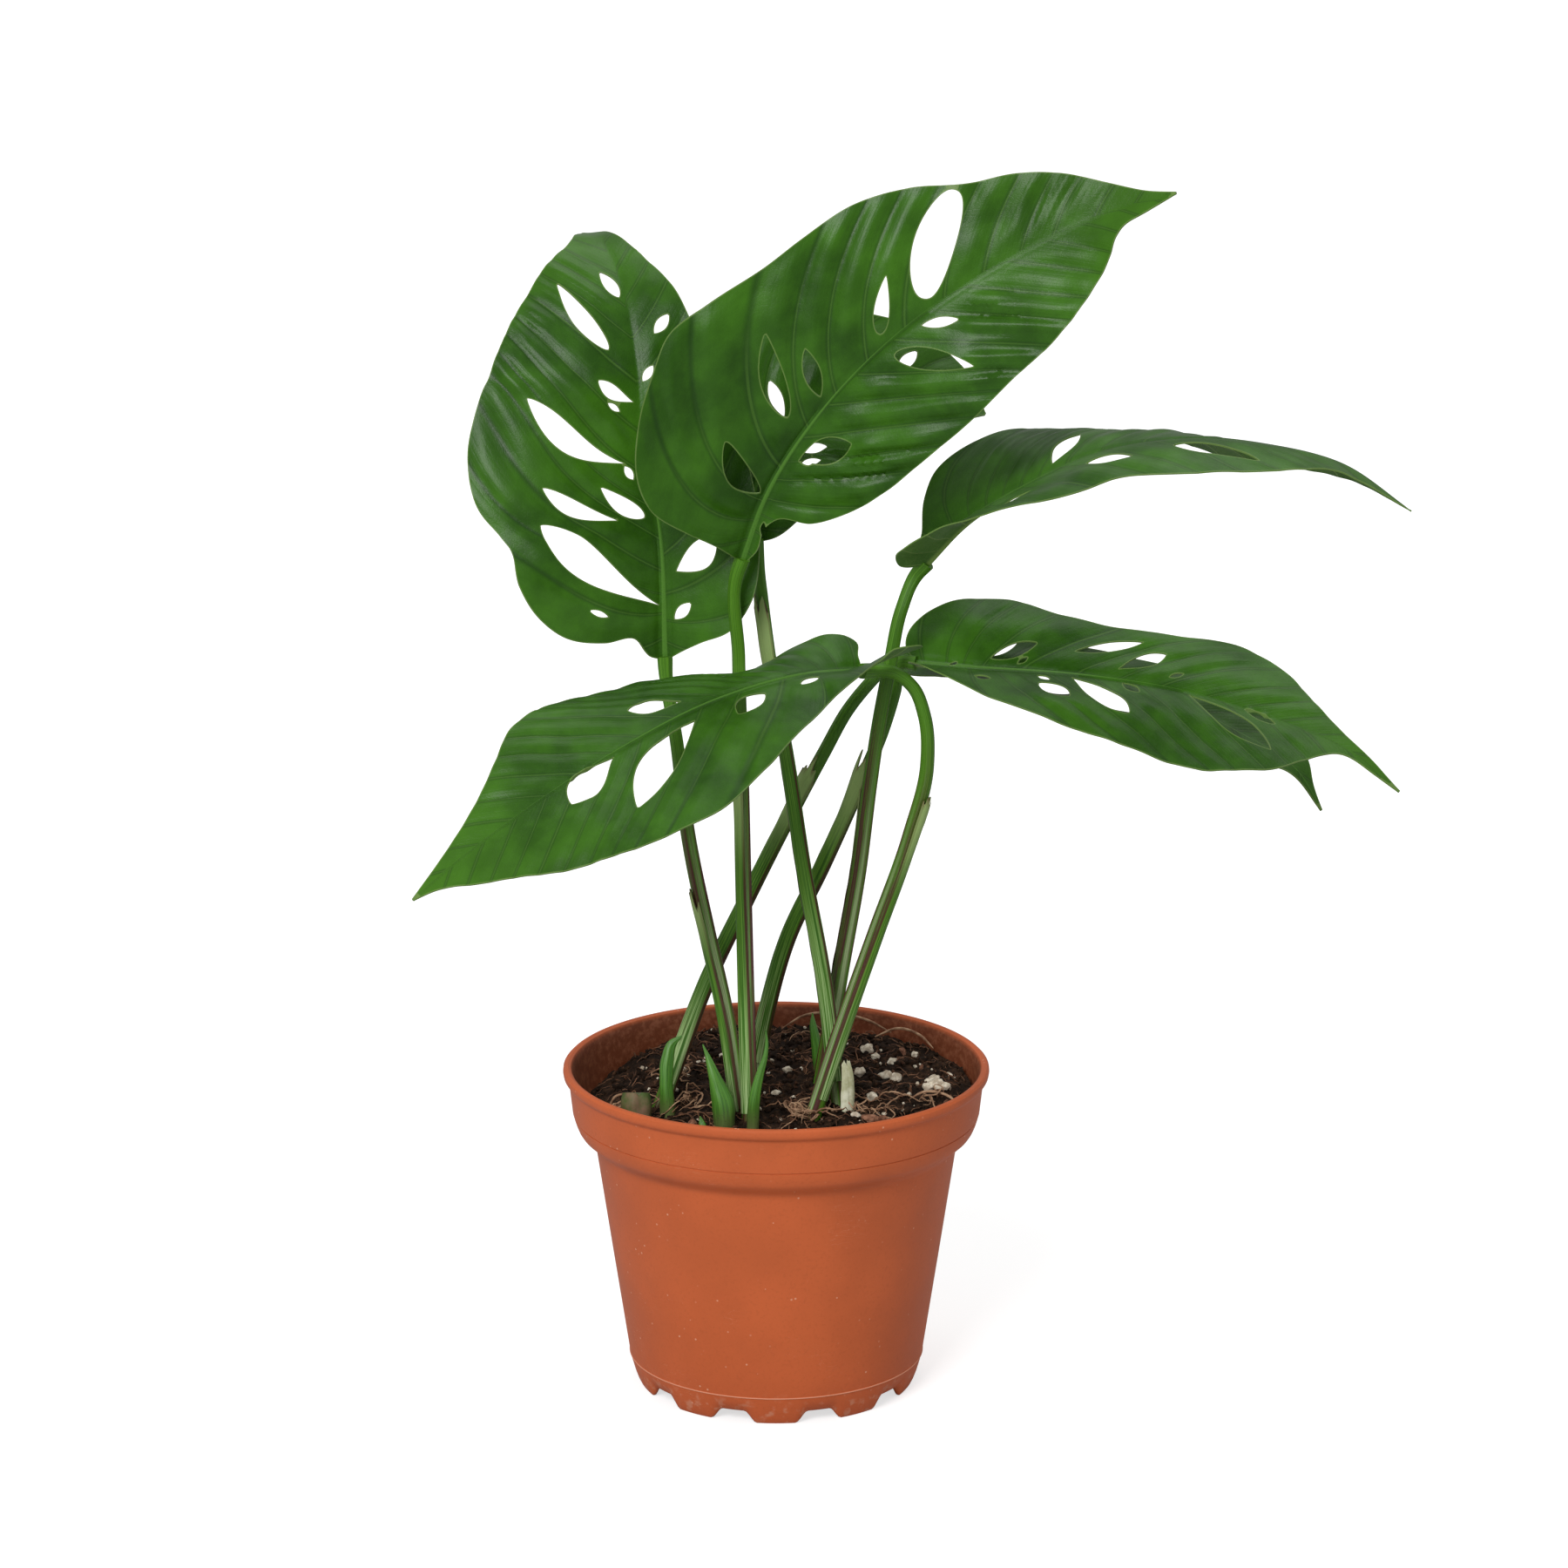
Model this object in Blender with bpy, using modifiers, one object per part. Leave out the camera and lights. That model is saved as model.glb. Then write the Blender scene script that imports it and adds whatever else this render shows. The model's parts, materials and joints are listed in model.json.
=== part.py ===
"""Potted monstera: seven holed leaves on tall stalks, rooted in peat in a thin-walled nursery pot.

Everything is laid out about the pot's axis with +Z up. Heights on the plant are measured from the
pot's rim, so the plant follows the pot. At the end one empty carries it all, so that the origin is
the middle of the underside of the whole object's box.
"""
from collections import namedtuple
from math import cos, pi, sin

import bmesh
import bpy
import numpy as np
from mathutils import Matrix, Vector, noise

MM = 0.001
NAME = "potted_monstera"
GAP = 0.3 * MM                      # left between two solids that touch

# Pot
POT_HEIGHT = 118 * MM
WALL = 1.2 * MM
MOUTH_RADIUS = 73.9 * MM            # outside, just under the lip
LIP_OVERHANG = 2.1 * MM
LIP_HEIGHT = 4.4 * MM
BAND_HEIGHT = 28.5 * MM             # from the rim down to the shoulder
BAND_TAPER = 4.4 * MM
SHOULDER_HEIGHT = 5.5 * MM
SHOULDER_INSET = 5.4 * MM
BASE_RADIUS = 52.6 * MM             # where the skirt below the floor begins
SKIRT_HEIGHT = 10.6 * MM
FOOT_RADIUS = 49.2 * MM
FLOOR_RISE = 6 * MM                 # underside of the floor above the table
FOOT_COUNT = 10
NOTCH_RADIUS = 9.5 * MM
NOTCH_HEIGHT = 4.5 * MM
DRAIN_COUNT = 5
DRAIN_RADIUS = 4 * MM
DRAIN_CIRCLE = 30 * MM
POT_STEPS = 40

# Soil: heaped on the right, washed down on the left
SOIL_DEPTH = 7.5 * MM               # from the rim down to the heaped part
SOIL_DIP = 10 * MM                  # how much deeper it lies at the left wall
SOIL_DIP_START = 30 * MM            # distance left of the axis where it starts to fall
SOIL_LUMP = 1.4 * MM
SOIL_LUMPS_PER_METRE = 60
SOIL_RINGS = 7
SOIL_STEPS = 32

# Plant
BLADE_THICKNESS = 0.8 * MM
BLADE_CELL = 12.7 * MM              # never a whole number, so that no cell edge meets a knot of a loop
SLAB_LENGTH_SHARE = 1.3             # of the midrib, because the lobes reach back behind the joint
JOINT_HALF_WIDTH = 1.6 * MM         # of a blade where it meets its stalk
TIP_HALF_WIDTH = 0.5 * MM
HOLE_WIDEST_AT = 0.45               # share of a hole's length from its inner end
CURL_SPAN = 50 * MM                 # a curl is the angle turned over this width
PETIOLE_FOOT_RADIUS = 3.1 * MM
PETIOLE_TOP_RADIUS = 2.2 * MM
PETIOLE_SIDES = 2                   # bevel resolution: eight sides
FOOT_DEPTH = 12 * MM                # how far stalks and shoots go into the soil
STALK_NECK = 4 * MM                 # the straight end of a stalk, in line with the midrib
STALK_POINTS = 16
SHOOT_POINTS = 9

STATIONS = (0, 0.12, 0.4, 0.7, 1)   # shares of a blade's length where fold and curl are given

# A blade lies flat as (along the midrib, across it), in millimetres from its joint, with its left side
# at negative values, seen from above with the tip ahead. facing is the way that its upper side looks.
# A fold lifts a side at the midrib and a curl lifts it further on, in degrees.
Leaf = namedtuple("Leaf", "name midrib facing left right fold_left fold_right curl_left curl_right holes")

LEAVES = (
    Leaf("back_left",
         midrib=((-39, 8, 146), (-41, 10, 195), (-47, 14, 225), (-49, 20, 249), (-54, 34, 274),
                 (-62, 56, 287), (-69, 82, 285)),
         facing=((0.1, -1, 0.15), (0.1, -1, 0.15), (0.15, -1, 0.25), (0.15, -0.9, 0.5),
                 (0.1, -0.55, 0.9)),
         left=((2, 6), (9, 12), (9, 24), (14, 42), (22, 50), (32, 54), (46, 54), (58, 57), (70, 62),
               (79, 62), (90, 58), (103, 53), (116, 47), (129, 40), (145, 28), (160, 12), (176, 5)),
         right=((3, 6), (7, 14), (12, 25), (22, 32), (40, 35), (60, 35), (84, 33), (100, 28), (116, 22),
                (129, 18), (145, 11), (162, 6), (178, 3)),
         fold_left=(28, 22, 12, 8, 5), fold_right=(28, 22, 14, 10, 5),
         curl_left=(10, 0, -20, -26, -30), curl_right=(10, 0, -12, -22, -30),
         holes=((20, -2, 58, -42, 17), (53, -15, 70, -38, 7), (52, -5, 66, -18, 7), (72, -8, 95, -39, 9),
                (92, -2, 100, -14, 5), (111, -9, 140, -22, 7), (130, -2, 142, -6, 6), (115, 8, 121, 14, 4),
                (32, 5, 43, 20, 9), (15, 4, 21, 10, 4))),
    Leaf("centre",
         midrib=((-12, -8, 185), (-4, -12, 208), (16, -20, 241), (43, -27, 270), (84, -30, 298),
                 (108, -34, 310), (134, -46, 320)),
         facing=((0.25, -1, 0.25), (0.25, -1, 0.25), (0.2, -1, 0.35), (0.1, -0.95, 0.4), (0.1, -0.85, 0.6)),
         left=((6, 14), (10, 27), (16, 43), (24, 51), (34, 55), (48, 58), (58, 60), (70, 55), (87, 48),
               (100, 46), (116, 44), (132, 38), (148, 29), (164, 24), (176, 18), (188, 10), (200, 4)),
         right=((6, 4), (15, 4), (20, 7), (25, 18), (36, 27), (54, 34), (80, 38), (104, 39), (129, 36),
                (152, 32), (171, 24), (184, 15), (190, 8), (202, 4)),
         fold_left=(32, 24, 15, 10, 14), fold_right=(32, 24, 15, 10, 14),
         curl_left=(-10, -12, -15, -15, -20), curl_right=(-30, -25, -20, -15, -20),
         holes=((118, -5, 144, -28, 14), (99, -4, 112, -17, 5), (56, -9, 74, -33, 7), (68, -4, 78, -19, 5),
                (27, -3, 40, -24, 9), (97, 5, 117, 24, 7), (44, 4, 62, 15, 8), (112, 3, 122, 8, 3))),
    Leaf("front_left",
         midrib=((31, -8, 146), (11, -24, 149), (-21, -46, 145), (-52, -68, 134), (-82, -88, 119),
                 (-109, -104, 102), (-121, -112, 93)),
         facing=((0.1, -0.5, 0.9), (0, -0.5, 0.9), (-0.05, -0.55, 0.85), (-0.1, -0.6, 0.8),
                 (-0.2, -0.65, 0.75)),
         left=((-1, 7), (-8, 13), (-13, 18), (-5, 19), (4, 16), (16, 18), (28, 21), (45, 29), (62, 37),
               (80, 44), (102, 47), (120, 44), (141, 36), (152, 30), (164, 21), (177, 13), (190, 3)),
         right=((0, 6), (-3, 12), (4, 19), (18, 22), (36, 24), (56, 26), (78, 29), (100, 32), (118, 32),
                (130, 29), (143, 21), (162, 11), (178, 5)),
         fold_left=(60, 22, 12, 8, 5), fold_right=(20, 0, 0, 12, 5),
         curl_left=(20, -5, -10, -15, -20), curl_right=(-60, -105, -45, -20, -20),
         holes=((77, 7, 93, 14, 7), (111, -2, 134, -11, 14), (78, -6, 119, -26, 15), (48, -6, 65, -12, 9),
                (25, -5, 34, -8, 4))),
    Leaf("upper_right",
         midrib=((52, 8, 180), (66, 4, 196), (87, -2, 211), (112, -8, 224), (141, -14, 230), (167, -18, 229),
                 (194, -22, 223), (218, -26, 207)),
         facing=((-0.2, -0.45, 0.85), (-0.25, -0.4, 0.87), (-0.2, -0.3, 0.93), (0, -0.25, 0.95),
                 (0.15, -0.2, 0.95)),
         left=((1, 4), (8, 11), (14, 20), (20, 29), (30, 37), (44, 41), (60, 40), (78, 37), (98, 34),
               (120, 30), (142, 24), (162, 16), (178, 8)),
         right=((-2, 5), (-3, 12), (2, 19), (12, 22), (28, 24), (42, 28), (57, 31), (69, 31), (79, 28),
                (90, 26), (104, 27), (121, 25), (137, 22), (150, 17), (160, 12), (176, 5)),
         fold_left=(30, 22, 0, -28, -35), fold_right=(70, 45, 14, 10, 5),
         curl_left=(-30, -30, -50, -60, -50), curl_right=(10, -10, -30, -30, -30),
         holes=((59, -5, 69, -16, 8), (74, 8, 90, 11, 5), (40, 6, 51, 10, 4), (105, 7, 133, 15, 5))),
    Leaf("lower_right",
         midrib=((48, 16, 143), (70, 9, 143), (106, -2, 143), (147, -14, 139), (171, -22, 133),
                 (199, -32, 123), (215, -40, 111)),
         facing=((0, -0.45, 0.9), (0, -0.42, 0.9), (0, -0.4, 0.9), (0.05, -0.45, 0.9), (0.2, -0.5, 0.85)),
         left=((-3, 5), (-4, 14), (0, 22), (8, 29), (18, 33), (30, 34), (44, 30), (58, 27), (74, 26),
               (90, 27), (104, 30), (116, 29), (130, 23), (143, 13), (157, 5), (172, 2)),
         right=((1, 5), (2, 12), (6, 17), (14, 20), (24, 23), (43, 29), (64, 36), (82, 38), (106, 39),
                (119, 38), (131, 32), (140, 26), (149, 15), (159, 4), (172, 2)),
         fold_left=(22, 17, 12, 8, 5), fold_right=(35, 25, 12, 8, 5),
         curl_left=(-20, -20, -20, -20, -20), curl_right=(60, 10, -15, -20, -20),
         holes=((29, -5, 42, -12, 4), (58, -11, 78, -19, 4), (75, -5, 86, -15, 4), (49, 9, 61, 17, 7),
                (59, 3, 83, 20, 11), (101, 2, 135, 16, 12))),
    Leaf("behind_centre",
         midrib=((-7, 26, 184), (-8, 30, 200), (0, 36, 218), (17, 42, 232), (40, 46, 238), (60, 46, 234),
                 (74, 42, 227)),
         facing=((0.1, -1, 0.3), (0.1, -1, 0.3), (0.1, -0.9, 0.5), (0.15, -0.8, 0.65), (0.3, -0.7, 0.75)),
         left=((1, 6), (6, 14), (16, 21), (30, 27), (46, 31), (62, 32), (80, 27), (96, 20), (110, 10)),
         right=((1, 6), (6, 16), (16, 26), (32, 35), (56, 39), (80, 37), (100, 28), (113, 13)),
         fold_left=(25, 20, 14, 10, 8), fold_right=(25, 20, 14, 10, 8),
         curl_left=(-10, -12, -15, -20, -20), curl_right=(-10, -12, -15, -20, -20),
         holes=((46, -4, 50, -17, 4), (40, 9, 50, 15, 4), (88, -4, 93, -13, 4))),
    Leaf("under_right",
         midrib=((43, 36, 137), (68, 34, 134), (102, 30, 130), (136, 24, 123), (163, 16, 115), (184, 6, 106),
                 (192, -2, 94)),
         facing=((0, -0.4, 0.9), (0, -0.4, 0.9), (0, -0.4, 0.9), (0.05, -0.4, 0.9), (0.4, -0.5, 0.8)),
         left=((1, 6), (3, 12), (16, 21), (34, 24), (55, 25), (79, 25), (103, 25), (121, 24), (136, 17),
               (148, 9), (157, 3)),
         right=((2, 6), (7, 10), (16, 12), (36, 18), (63, 24), (91, 27), (119, 22), (137, 12), (150, 4)),
         fold_left=(15, 13, 10, 8, 5), fold_right=(15, 13, 10, 8, 5),
         curl_left=(-10, -12, -15, -20, -20), curl_right=(-10, -12, -15, -20, -20),
         holes=((38, 5, 50, 15, 5), (73, 4, 89, 15, 7), (60, -9, 72, -23, 5))),
)

# Stalk routes, in millimetres from the soil up to the blade's joint, which is added at the end.
STALKS = {
    "back_left": ((-13, -32, -7), (-18, -24, 27), (-24, -16, 53), (-31, -6, 86), (-35, 2, 118)),
    "centre": ((-9, -43, -7), (-10, -35, 25), (-11, -22, 63), (-12, -8, 108), (-13, -4, 150)),
    "front_left": ((13, -38, -7), (24, -30, 25), (35, -22, 55), (47, -14, 88), (53, -8, 112), (52, -5, 129),
                   (48, -4, 139), (40, -5, 145)),
    "upper_right": ((16, -4, -7), (23, -2, 36), (29, 0, 71), (33, 2, 103), (36, 3, 124), (40, 4, 146),
                    (44, 6, 165)),
    "lower_right": ((-8, 10, -7), (-3, 10, 18), (4, 10, 43), (17, 11, 71), (31, 12, 103), (38, 14, 120),
                    (42, 16, 133)),
    "behind_centre": ((22, -27, -7), (17, -17, 36), (10, -5, 73), (4, 6, 111), (-2, 16, 143), (-5, 22, 165)),
    "under_right": ((-40, -18, -8), (-25, -3, 30), (-10, 9, 59), (4, 18, 85), (17, 25, 108), (26, 30, 123),
                    (34, 34, 132)),
}

# Young growth at the soil: route and radius at each route point, in millimetres.
SHOOTS = {
    "shoot_green": (((-38, -35, -7), (-38, -34, 6), (-38, -32, 13), (-38, -31, 20)), (2.8, 2.6, 2, 0.7)),
    "shoot_bulbous": (((-18, -49, -7), (-18, -48, 3), (-21, -46, 12), (-25, -44, 21)), (3.8, 3.6, 2.6, 0.4)),
    "shoot_curled": (((-8, -53, -7), (-7, -53, 8), (-4, -52, 18), (-3, -50, 27)), (2.2, 2, 1.3, 0.4)),
    "shoot_sheathed": (((16, 10, -7), (14, 11, 6), (13, 12, 14)), (2.2, 1.8, 0.4)),
    "cut_stem_stub": (((-49, -37, -10), (-49, -36, 1)), (5.5, 5.2)),
    "torn_sheath": (((25, -35, -7), (25, -33, 8)), (2, 1.6)),
}

CRUMB_SHOWING = 0.3                 # share of a loose bit's half height that its middle stands above the soil
CRUMB_DENT = 0.16                   # the deepest that a loose bit's surface is knocked in, as a share
CRUMB_POCKET_SLACK = 1.08           # a faceted pocket grown so that its flats clear the bit

# Loose bits on the soil: place as shares of the soil's radius, and half sizes in millimetres.
CRUMBS = {
    "perlite_1": ((0.8, 0.02), (4.2, 3, 2.2)),
    "perlite_2": ((0.79, -0.14), (4.4, 3.4, 3)),
    "perlite_3": ((0.46, 0.5), (2.4, 2.2, 2)),
    "perlite_4": ((0.42, 0.1), (2.5, 2, 1.9)),
    "perlite_5": ((0.6, -0.3), (2.2, 2.2, 1.8)),
    "bark_chip_1": ((0.52, -0.55), (7, 3.6, 2.4)),
    "bark_chip_2": ((-0.68, -0.02), (4.4, 3, 2.4)),
}


def rim(point):
    """A plant point, in millimetres above the rim plane, as a place in metres."""
    x, y, z = point
    return Vector((x * MM, y * MM, z * MM + POT_HEIGHT))


def smooth(stations, values, at):
    """A cubic through the values at their stations, read at every place in at."""
    stations = np.asarray(stations, float)
    values = np.asarray(values, float)
    slopes = np.gradient(values, stations, axis=0)
    at = np.clip(at, stations[0], stations[-1])
    i = np.clip(np.searchsorted(stations, at, side="right") - 1, 0, len(stations) - 2)
    width = stations[i + 1] - stations[i]
    t = (at - stations[i]) / width
    if values.ndim > 1:
        t = t[:, None]
        width = width[:, None]
    held = values[i] * (1 + 2 * t) * (1 - t) ** 2 + values[i + 1] * t * t * (3 - 2 * t)
    leaning = slopes[i] * t * (1 - t) ** 2 - slopes[i + 1] * t * t * (1 - t)
    return held + leaning * width


def even_curve(points, count):
    """count places at even steps along the smooth curve through the points, and its length."""
    points = np.asarray(points, float)
    chord = np.concatenate(([0], np.cumsum(np.linalg.norm(np.diff(points, axis=0), axis=1))))
    dense = smooth(chord, points, np.linspace(0, chord[-1], 400))
    run = np.concatenate(([0], np.cumsum(np.linalg.norm(np.diff(dense, axis=0), axis=1))))
    steps = np.linspace(0, run[-1], count)
    return np.stack([np.interp(steps, run, dense[:, axis]) for axis in range(3)], 1), run[-1]


class BladeSurface:
    """The curved sheet that a flat blade is laid on."""

    def __init__(self, leaf):
        self.leaf = leaf
        self.midrib, self.length = even_curve([rim(point) for point in leaf.midrib], 200)
        self.marks = np.linspace(0, self.length, 200)
        self.heading = np.gradient(self.midrib, self.marks, axis=0)

    def along(self, rows, u):
        return np.stack([np.interp(u, self.marks, rows[:, axis]) for axis in range(3)], 1)

    def place(self, u, v, lift):
        """World places of flat points: along, across and above the sheet."""
        share = np.clip(u / self.length, 0, 1)
        ahead = self.along(self.heading, u)
        ahead /= np.linalg.norm(ahead, axis=1, keepdims=True)
        facing = smooth(STATIONS, self.leaf.facing, share)
        up = facing - (facing * ahead).sum(1, keepdims=True) * ahead
        up /= np.linalg.norm(up, axis=1, keepdims=True)
        side = np.cross(ahead, up)
        right = v >= 0
        fold = np.radians(np.where(right, smooth(STATIONS, self.leaf.fold_right, share),
                                   smooth(STATIONS, self.leaf.fold_left, share)))
        curl = np.radians(np.where(right, smooth(STATIONS, self.leaf.curl_right, share),
                                   smooth(STATIONS, self.leaf.curl_left, share))) / CURL_SPAN
        curl = np.where(np.abs(curl) < 0.01, 0.01, curl)
        reach = np.abs(v)
        turned = fold + curl * reach
        out = (np.sin(turned) - np.sin(fold)) / curl - lift * np.sin(turned)
        rise = (np.cos(fold) - np.cos(turned)) / curl + lift * np.cos(turned)
        past = u - np.clip(u, 0, self.length)
        base = self.along(self.midrib, u) + ahead * past[:, None]
        return base + side * (np.sign(v) * out)[:, None] + up * rise[:, None]


def material(name, color, roughness):
    made = bpy.data.materials.new(name)
    made.use_nodes = True
    shader = made.node_tree.nodes["Principled BSDF"]
    shader.inputs["Base Color"].default_value = (*color, 1)
    shader.inputs["Roughness"].default_value = roughness
    shader.inputs["Metallic"].default_value = 0
    return made


def add_object(name, mesh, collection, finish=None):
    made = bpy.data.objects.new(name, mesh)
    collection.objects.link(made)
    if finish:
        mesh.materials.append(finish)
    return made


def bmesh_to_mesh(bm, name):
    mesh = bpy.data.meshes.new(name)
    bm.to_mesh(mesh)
    bm.free()
    return mesh


def as_mesh(source, name, weld=1e-6):
    """The evaluated shape of a curve or a modified object as one welded mesh; the source is removed."""
    bpy.context.view_layer.update()
    evaluated = source.evaluated_get(bpy.context.evaluated_depsgraph_get())
    mesh = bpy.data.meshes.new_from_object(evaluated)
    mesh.name = name
    mesh.materials.clear()
    bpy.data.objects.remove(source)
    bm = bmesh.new()
    bm.from_mesh(mesh)
    bmesh.ops.remove_doubles(bm, verts=bm.verts, dist=weld)
    bmesh.ops.recalc_face_normals(bm, faces=bm.faces)
    bm.to_mesh(mesh)
    bm.free()
    return mesh


def boolean(target, tool, operation):
    cut = target.modifiers.new(tool.name, "BOOLEAN")
    cut.object = tool
    cut.operation = operation
    cut.solver = "EXACT"


def turned(name, profile, steps, collection):
    """A profile of (radius, height) turned about Z, from the axis round to the axis."""
    mesh = bpy.data.meshes.new(name)
    mesh.from_pydata([(radius, 0, height) for radius, height in profile],
                     [(i, i + 1) for i in range(len(profile) - 1)], [])
    made = add_object(name, mesh, collection)
    screw = made.modifiers.new("turn", "SCREW")
    screw.steps = steps
    screw.render_steps = steps
    screw.use_merge_vertices = True
    screw.merge_threshold = 0.00005
    return made


def pot_outside():
    """The outer face of the pot from under the lip down to the feet, as (radius, height)."""
    top = POT_HEIGHT
    band_foot = MOUTH_RADIUS - BAND_TAPER
    body_top = band_foot - SHOULDER_INSET
    return [
        (MOUTH_RADIUS, top - LIP_HEIGHT),
        (MOUTH_RADIUS - BAND_TAPER * 0.3, top - BAND_HEIGHT * 0.6),
        (band_foot + BAND_TAPER * 0.2, top - BAND_HEIGHT * 0.9),
        (band_foot - WALL * 0.5, top - BAND_HEIGHT),
        (body_top + SHOULDER_INSET * 0.35, top - BAND_HEIGHT - SHOULDER_HEIGHT * 0.6),
        (body_top, top - BAND_HEIGHT - SHOULDER_HEIGHT),
        (BASE_RADIUS, SKIRT_HEIGHT),
        (FOOT_RADIUS + (BASE_RADIUS - FOOT_RADIUS) * 0.5, SKIRT_HEIGHT * 0.3),
        (FOOT_RADIUS, 0)]


def pot_inside(clearance):
    """The inner face from the mouth down to the floor, moved in by a clearance."""
    floor = FLOOR_RISE + WALL
    wall = [(radius - WALL - clearance, height) for radius, height in pot_outside() if height > SKIRT_HEIGHT]
    return wall + [(BASE_RADIUS - WALL * 1.6 - clearance, floor + clearance)]


def make_pot(collection, cutters, finish):
    top = POT_HEIGHT
    lip = MOUTH_RADIUS + LIP_OVERHANG
    inside = pot_inside(0)
    profile = [(0, FLOOR_RISE + WALL)] + inside[::-1] + [
        (MOUTH_RADIUS - WALL, top - WALL * 0.6), (MOUTH_RADIUS - WALL * 0.4, top), (lip - WALL * 0.8, top),
        (lip, top - WALL), (lip, top - LIP_HEIGHT * 0.8), (lip - WALL * 0.5, top - LIP_HEIGHT)]
    profile += pot_outside()
    profile += [(FOOT_RADIUS - WALL, 0), (BASE_RADIUS - WALL * 2.4, FLOOR_RISE), (0, FLOOR_RISE)]
    pot = turned("pot", profile, POT_STEPS, collection)
    pot.data.materials.append(finish)

    bm = bmesh.new()
    for foot in range(FOOT_COUNT):
        turn = Matrix.Rotation(2 * pi * (foot + 0.5) / FOOT_COUNT - pi / 2, 4, "Z")
        across = Matrix.Translation((FOOT_RADIUS, 0, NOTCH_HEIGHT - NOTCH_RADIUS))
        across = across @ Matrix.Rotation(pi / 2, 4, "Y")
        bmesh.ops.create_cone(bm, cap_ends=True, segments=24, radius1=NOTCH_RADIUS, radius2=NOTCH_RADIUS,
                              depth=FOOT_RADIUS * 0.4, matrix=turn @ across)
    for hole in range(DRAIN_COUNT):
        angle = 2 * pi * hole / DRAIN_COUNT
        place = Matrix.Translation((DRAIN_CIRCLE * cos(angle), DRAIN_CIRCLE * sin(angle), FLOOR_RISE))
        bmesh.ops.create_cone(bm, cap_ends=True, segments=16, radius1=DRAIN_RADIUS, radius2=DRAIN_RADIUS,
                              depth=WALL * 6, matrix=place)
    notches = add_object("pot_cutter", bmesh_to_mesh(bm, "pot_cutter"), cutters)
    boolean(pot, notches, "DIFFERENCE")
    return pot


def soil_height(x, y):
    """The soil's surface, in metres, with its dip at the left and its lumps."""
    share = min(max((-x - SOIL_DIP_START) / (MOUTH_RADIUS - SOIL_DIP_START), 0), 1)
    dip = SOIL_DIP * share * share * (3 - 2 * share)
    lump = noise.noise(Vector((x, y, 0)) * SOIL_LUMPS_PER_METRE) * SOIL_LUMP
    return POT_HEIGHT - SOIL_DEPTH - dip + lump


def soil_radius():
    """The radius of the soil's surface: what the wall leaves at the lowest place that the surface reaches."""
    lowest = POT_HEIGHT - SOIL_DEPTH - SOIL_DIP - SOIL_LUMP
    radii, heights = zip(*pot_inside(GAP * 2)[::-1])
    return float(np.interp(lowest, heights, radii))


def make_soil(collection, finish):
    wall = pot_inside(GAP)
    surface = POT_HEIGHT - SOIL_DEPTH
    below = [(radius, height) for radius, height in wall if height < surface - SOIL_DIP]
    profile = [(soil_radius() * ring / SOIL_RINGS, surface) for ring in range(SOIL_RINGS + 1)]
    profile += below + [(0, wall[-1][1])]
    made = turned("potting_soil", profile, SOIL_STEPS, collection)
    soil = add_object("potting_soil", as_mesh(made, "potting_soil"), collection, finish)
    for vertex in soil.data.vertices:
        if abs(vertex.co.z - surface) < GAP:
            vertex.co.z = soil_height(vertex.co.x, vertex.co.y)
    return soil


def make_tube(name, points, radii, collection):
    """A round-ended-off stalk: a bevelled curve with a radius at each point, made a mesh."""
    curve = bpy.data.curves.new(name, "CURVE")
    curve.dimensions = "3D"
    curve.bevel_depth = 1
    curve.bevel_resolution = PETIOLE_SIDES
    curve.use_fill_caps = True
    spline = curve.splines.new("POLY")
    spline.points.add(len(points) - 1)
    for node, place, radius in zip(spline.points, points, radii):
        node.co = (*place, 1)
        node.radius = radius
    return as_mesh(add_object(name, curve, collection), name)


def root_in_soil(route, extra=0):
    """A route with one more point below its first, down in the soil."""
    first = Vector(route[0])
    down = (first - Vector(route[1])).normalized()
    return [first + down * (FOOT_DEPTH + extra)] + [Vector(point) for point in route]


def cut_soil(name, route, radius, cutters, soil, reach=3):
    """Cuts the hole that a stalk or a shoot stands in, GAP wider and GAP deeper than it."""
    stretch = root_in_soil(route, GAP)[:reach + 1]
    points = even_curve(stretch, 8)[0]
    mesh = make_tube(name + "_cutter", points, [radius + GAP * 2] * 8, cutters)
    tool = add_object(name + "_cutter", mesh, cutters)
    boolean(soil, tool, "DIFFERENCE")


def make_stalk(leaf, surface, collection, cutters, soil, finish):
    name = "petiole_" + leaf.name
    joint = Vector(surface.midrib[0])
    ahead = Vector(surface.heading[0]).normalized()
    route = [rim(point) for point in STALKS[leaf.name]]
    points = even_curve(root_in_soil(route) + [joint - ahead * STALK_NECK], STALK_POINTS)[0]
    points = [Vector(point) for point in points] + [joint - ahead * GAP]
    radii = [PETIOLE_FOOT_RADIUS + (PETIOLE_TOP_RADIUS - PETIOLE_FOOT_RADIUS) * step / STALK_POINTS
             for step in range(STALK_POINTS + 1)]
    add_object(name, make_tube(name, points, radii, collection), collection, finish)
    cut_soil(name, route, PETIOLE_FOOT_RADIUS, cutters, soil)


def make_shoot(name, collection, cutters, soil, finish):
    route, widths = SHOOTS[name]
    route = [rim(point) for point in route]
    rooted = root_in_soil(route)
    marks = np.linspace(0, 1, len(rooted))
    widths = smooth(marks, [widths[0]] + list(widths), np.linspace(0, 1, SHOOT_POINTS)) * MM
    points = even_curve(rooted, SHOOT_POINTS)[0]
    add_object(name, make_tube(name, points, widths, collection), collection, finish)
    cut_soil(name, route, max(widths), cutters, soil)


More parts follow.
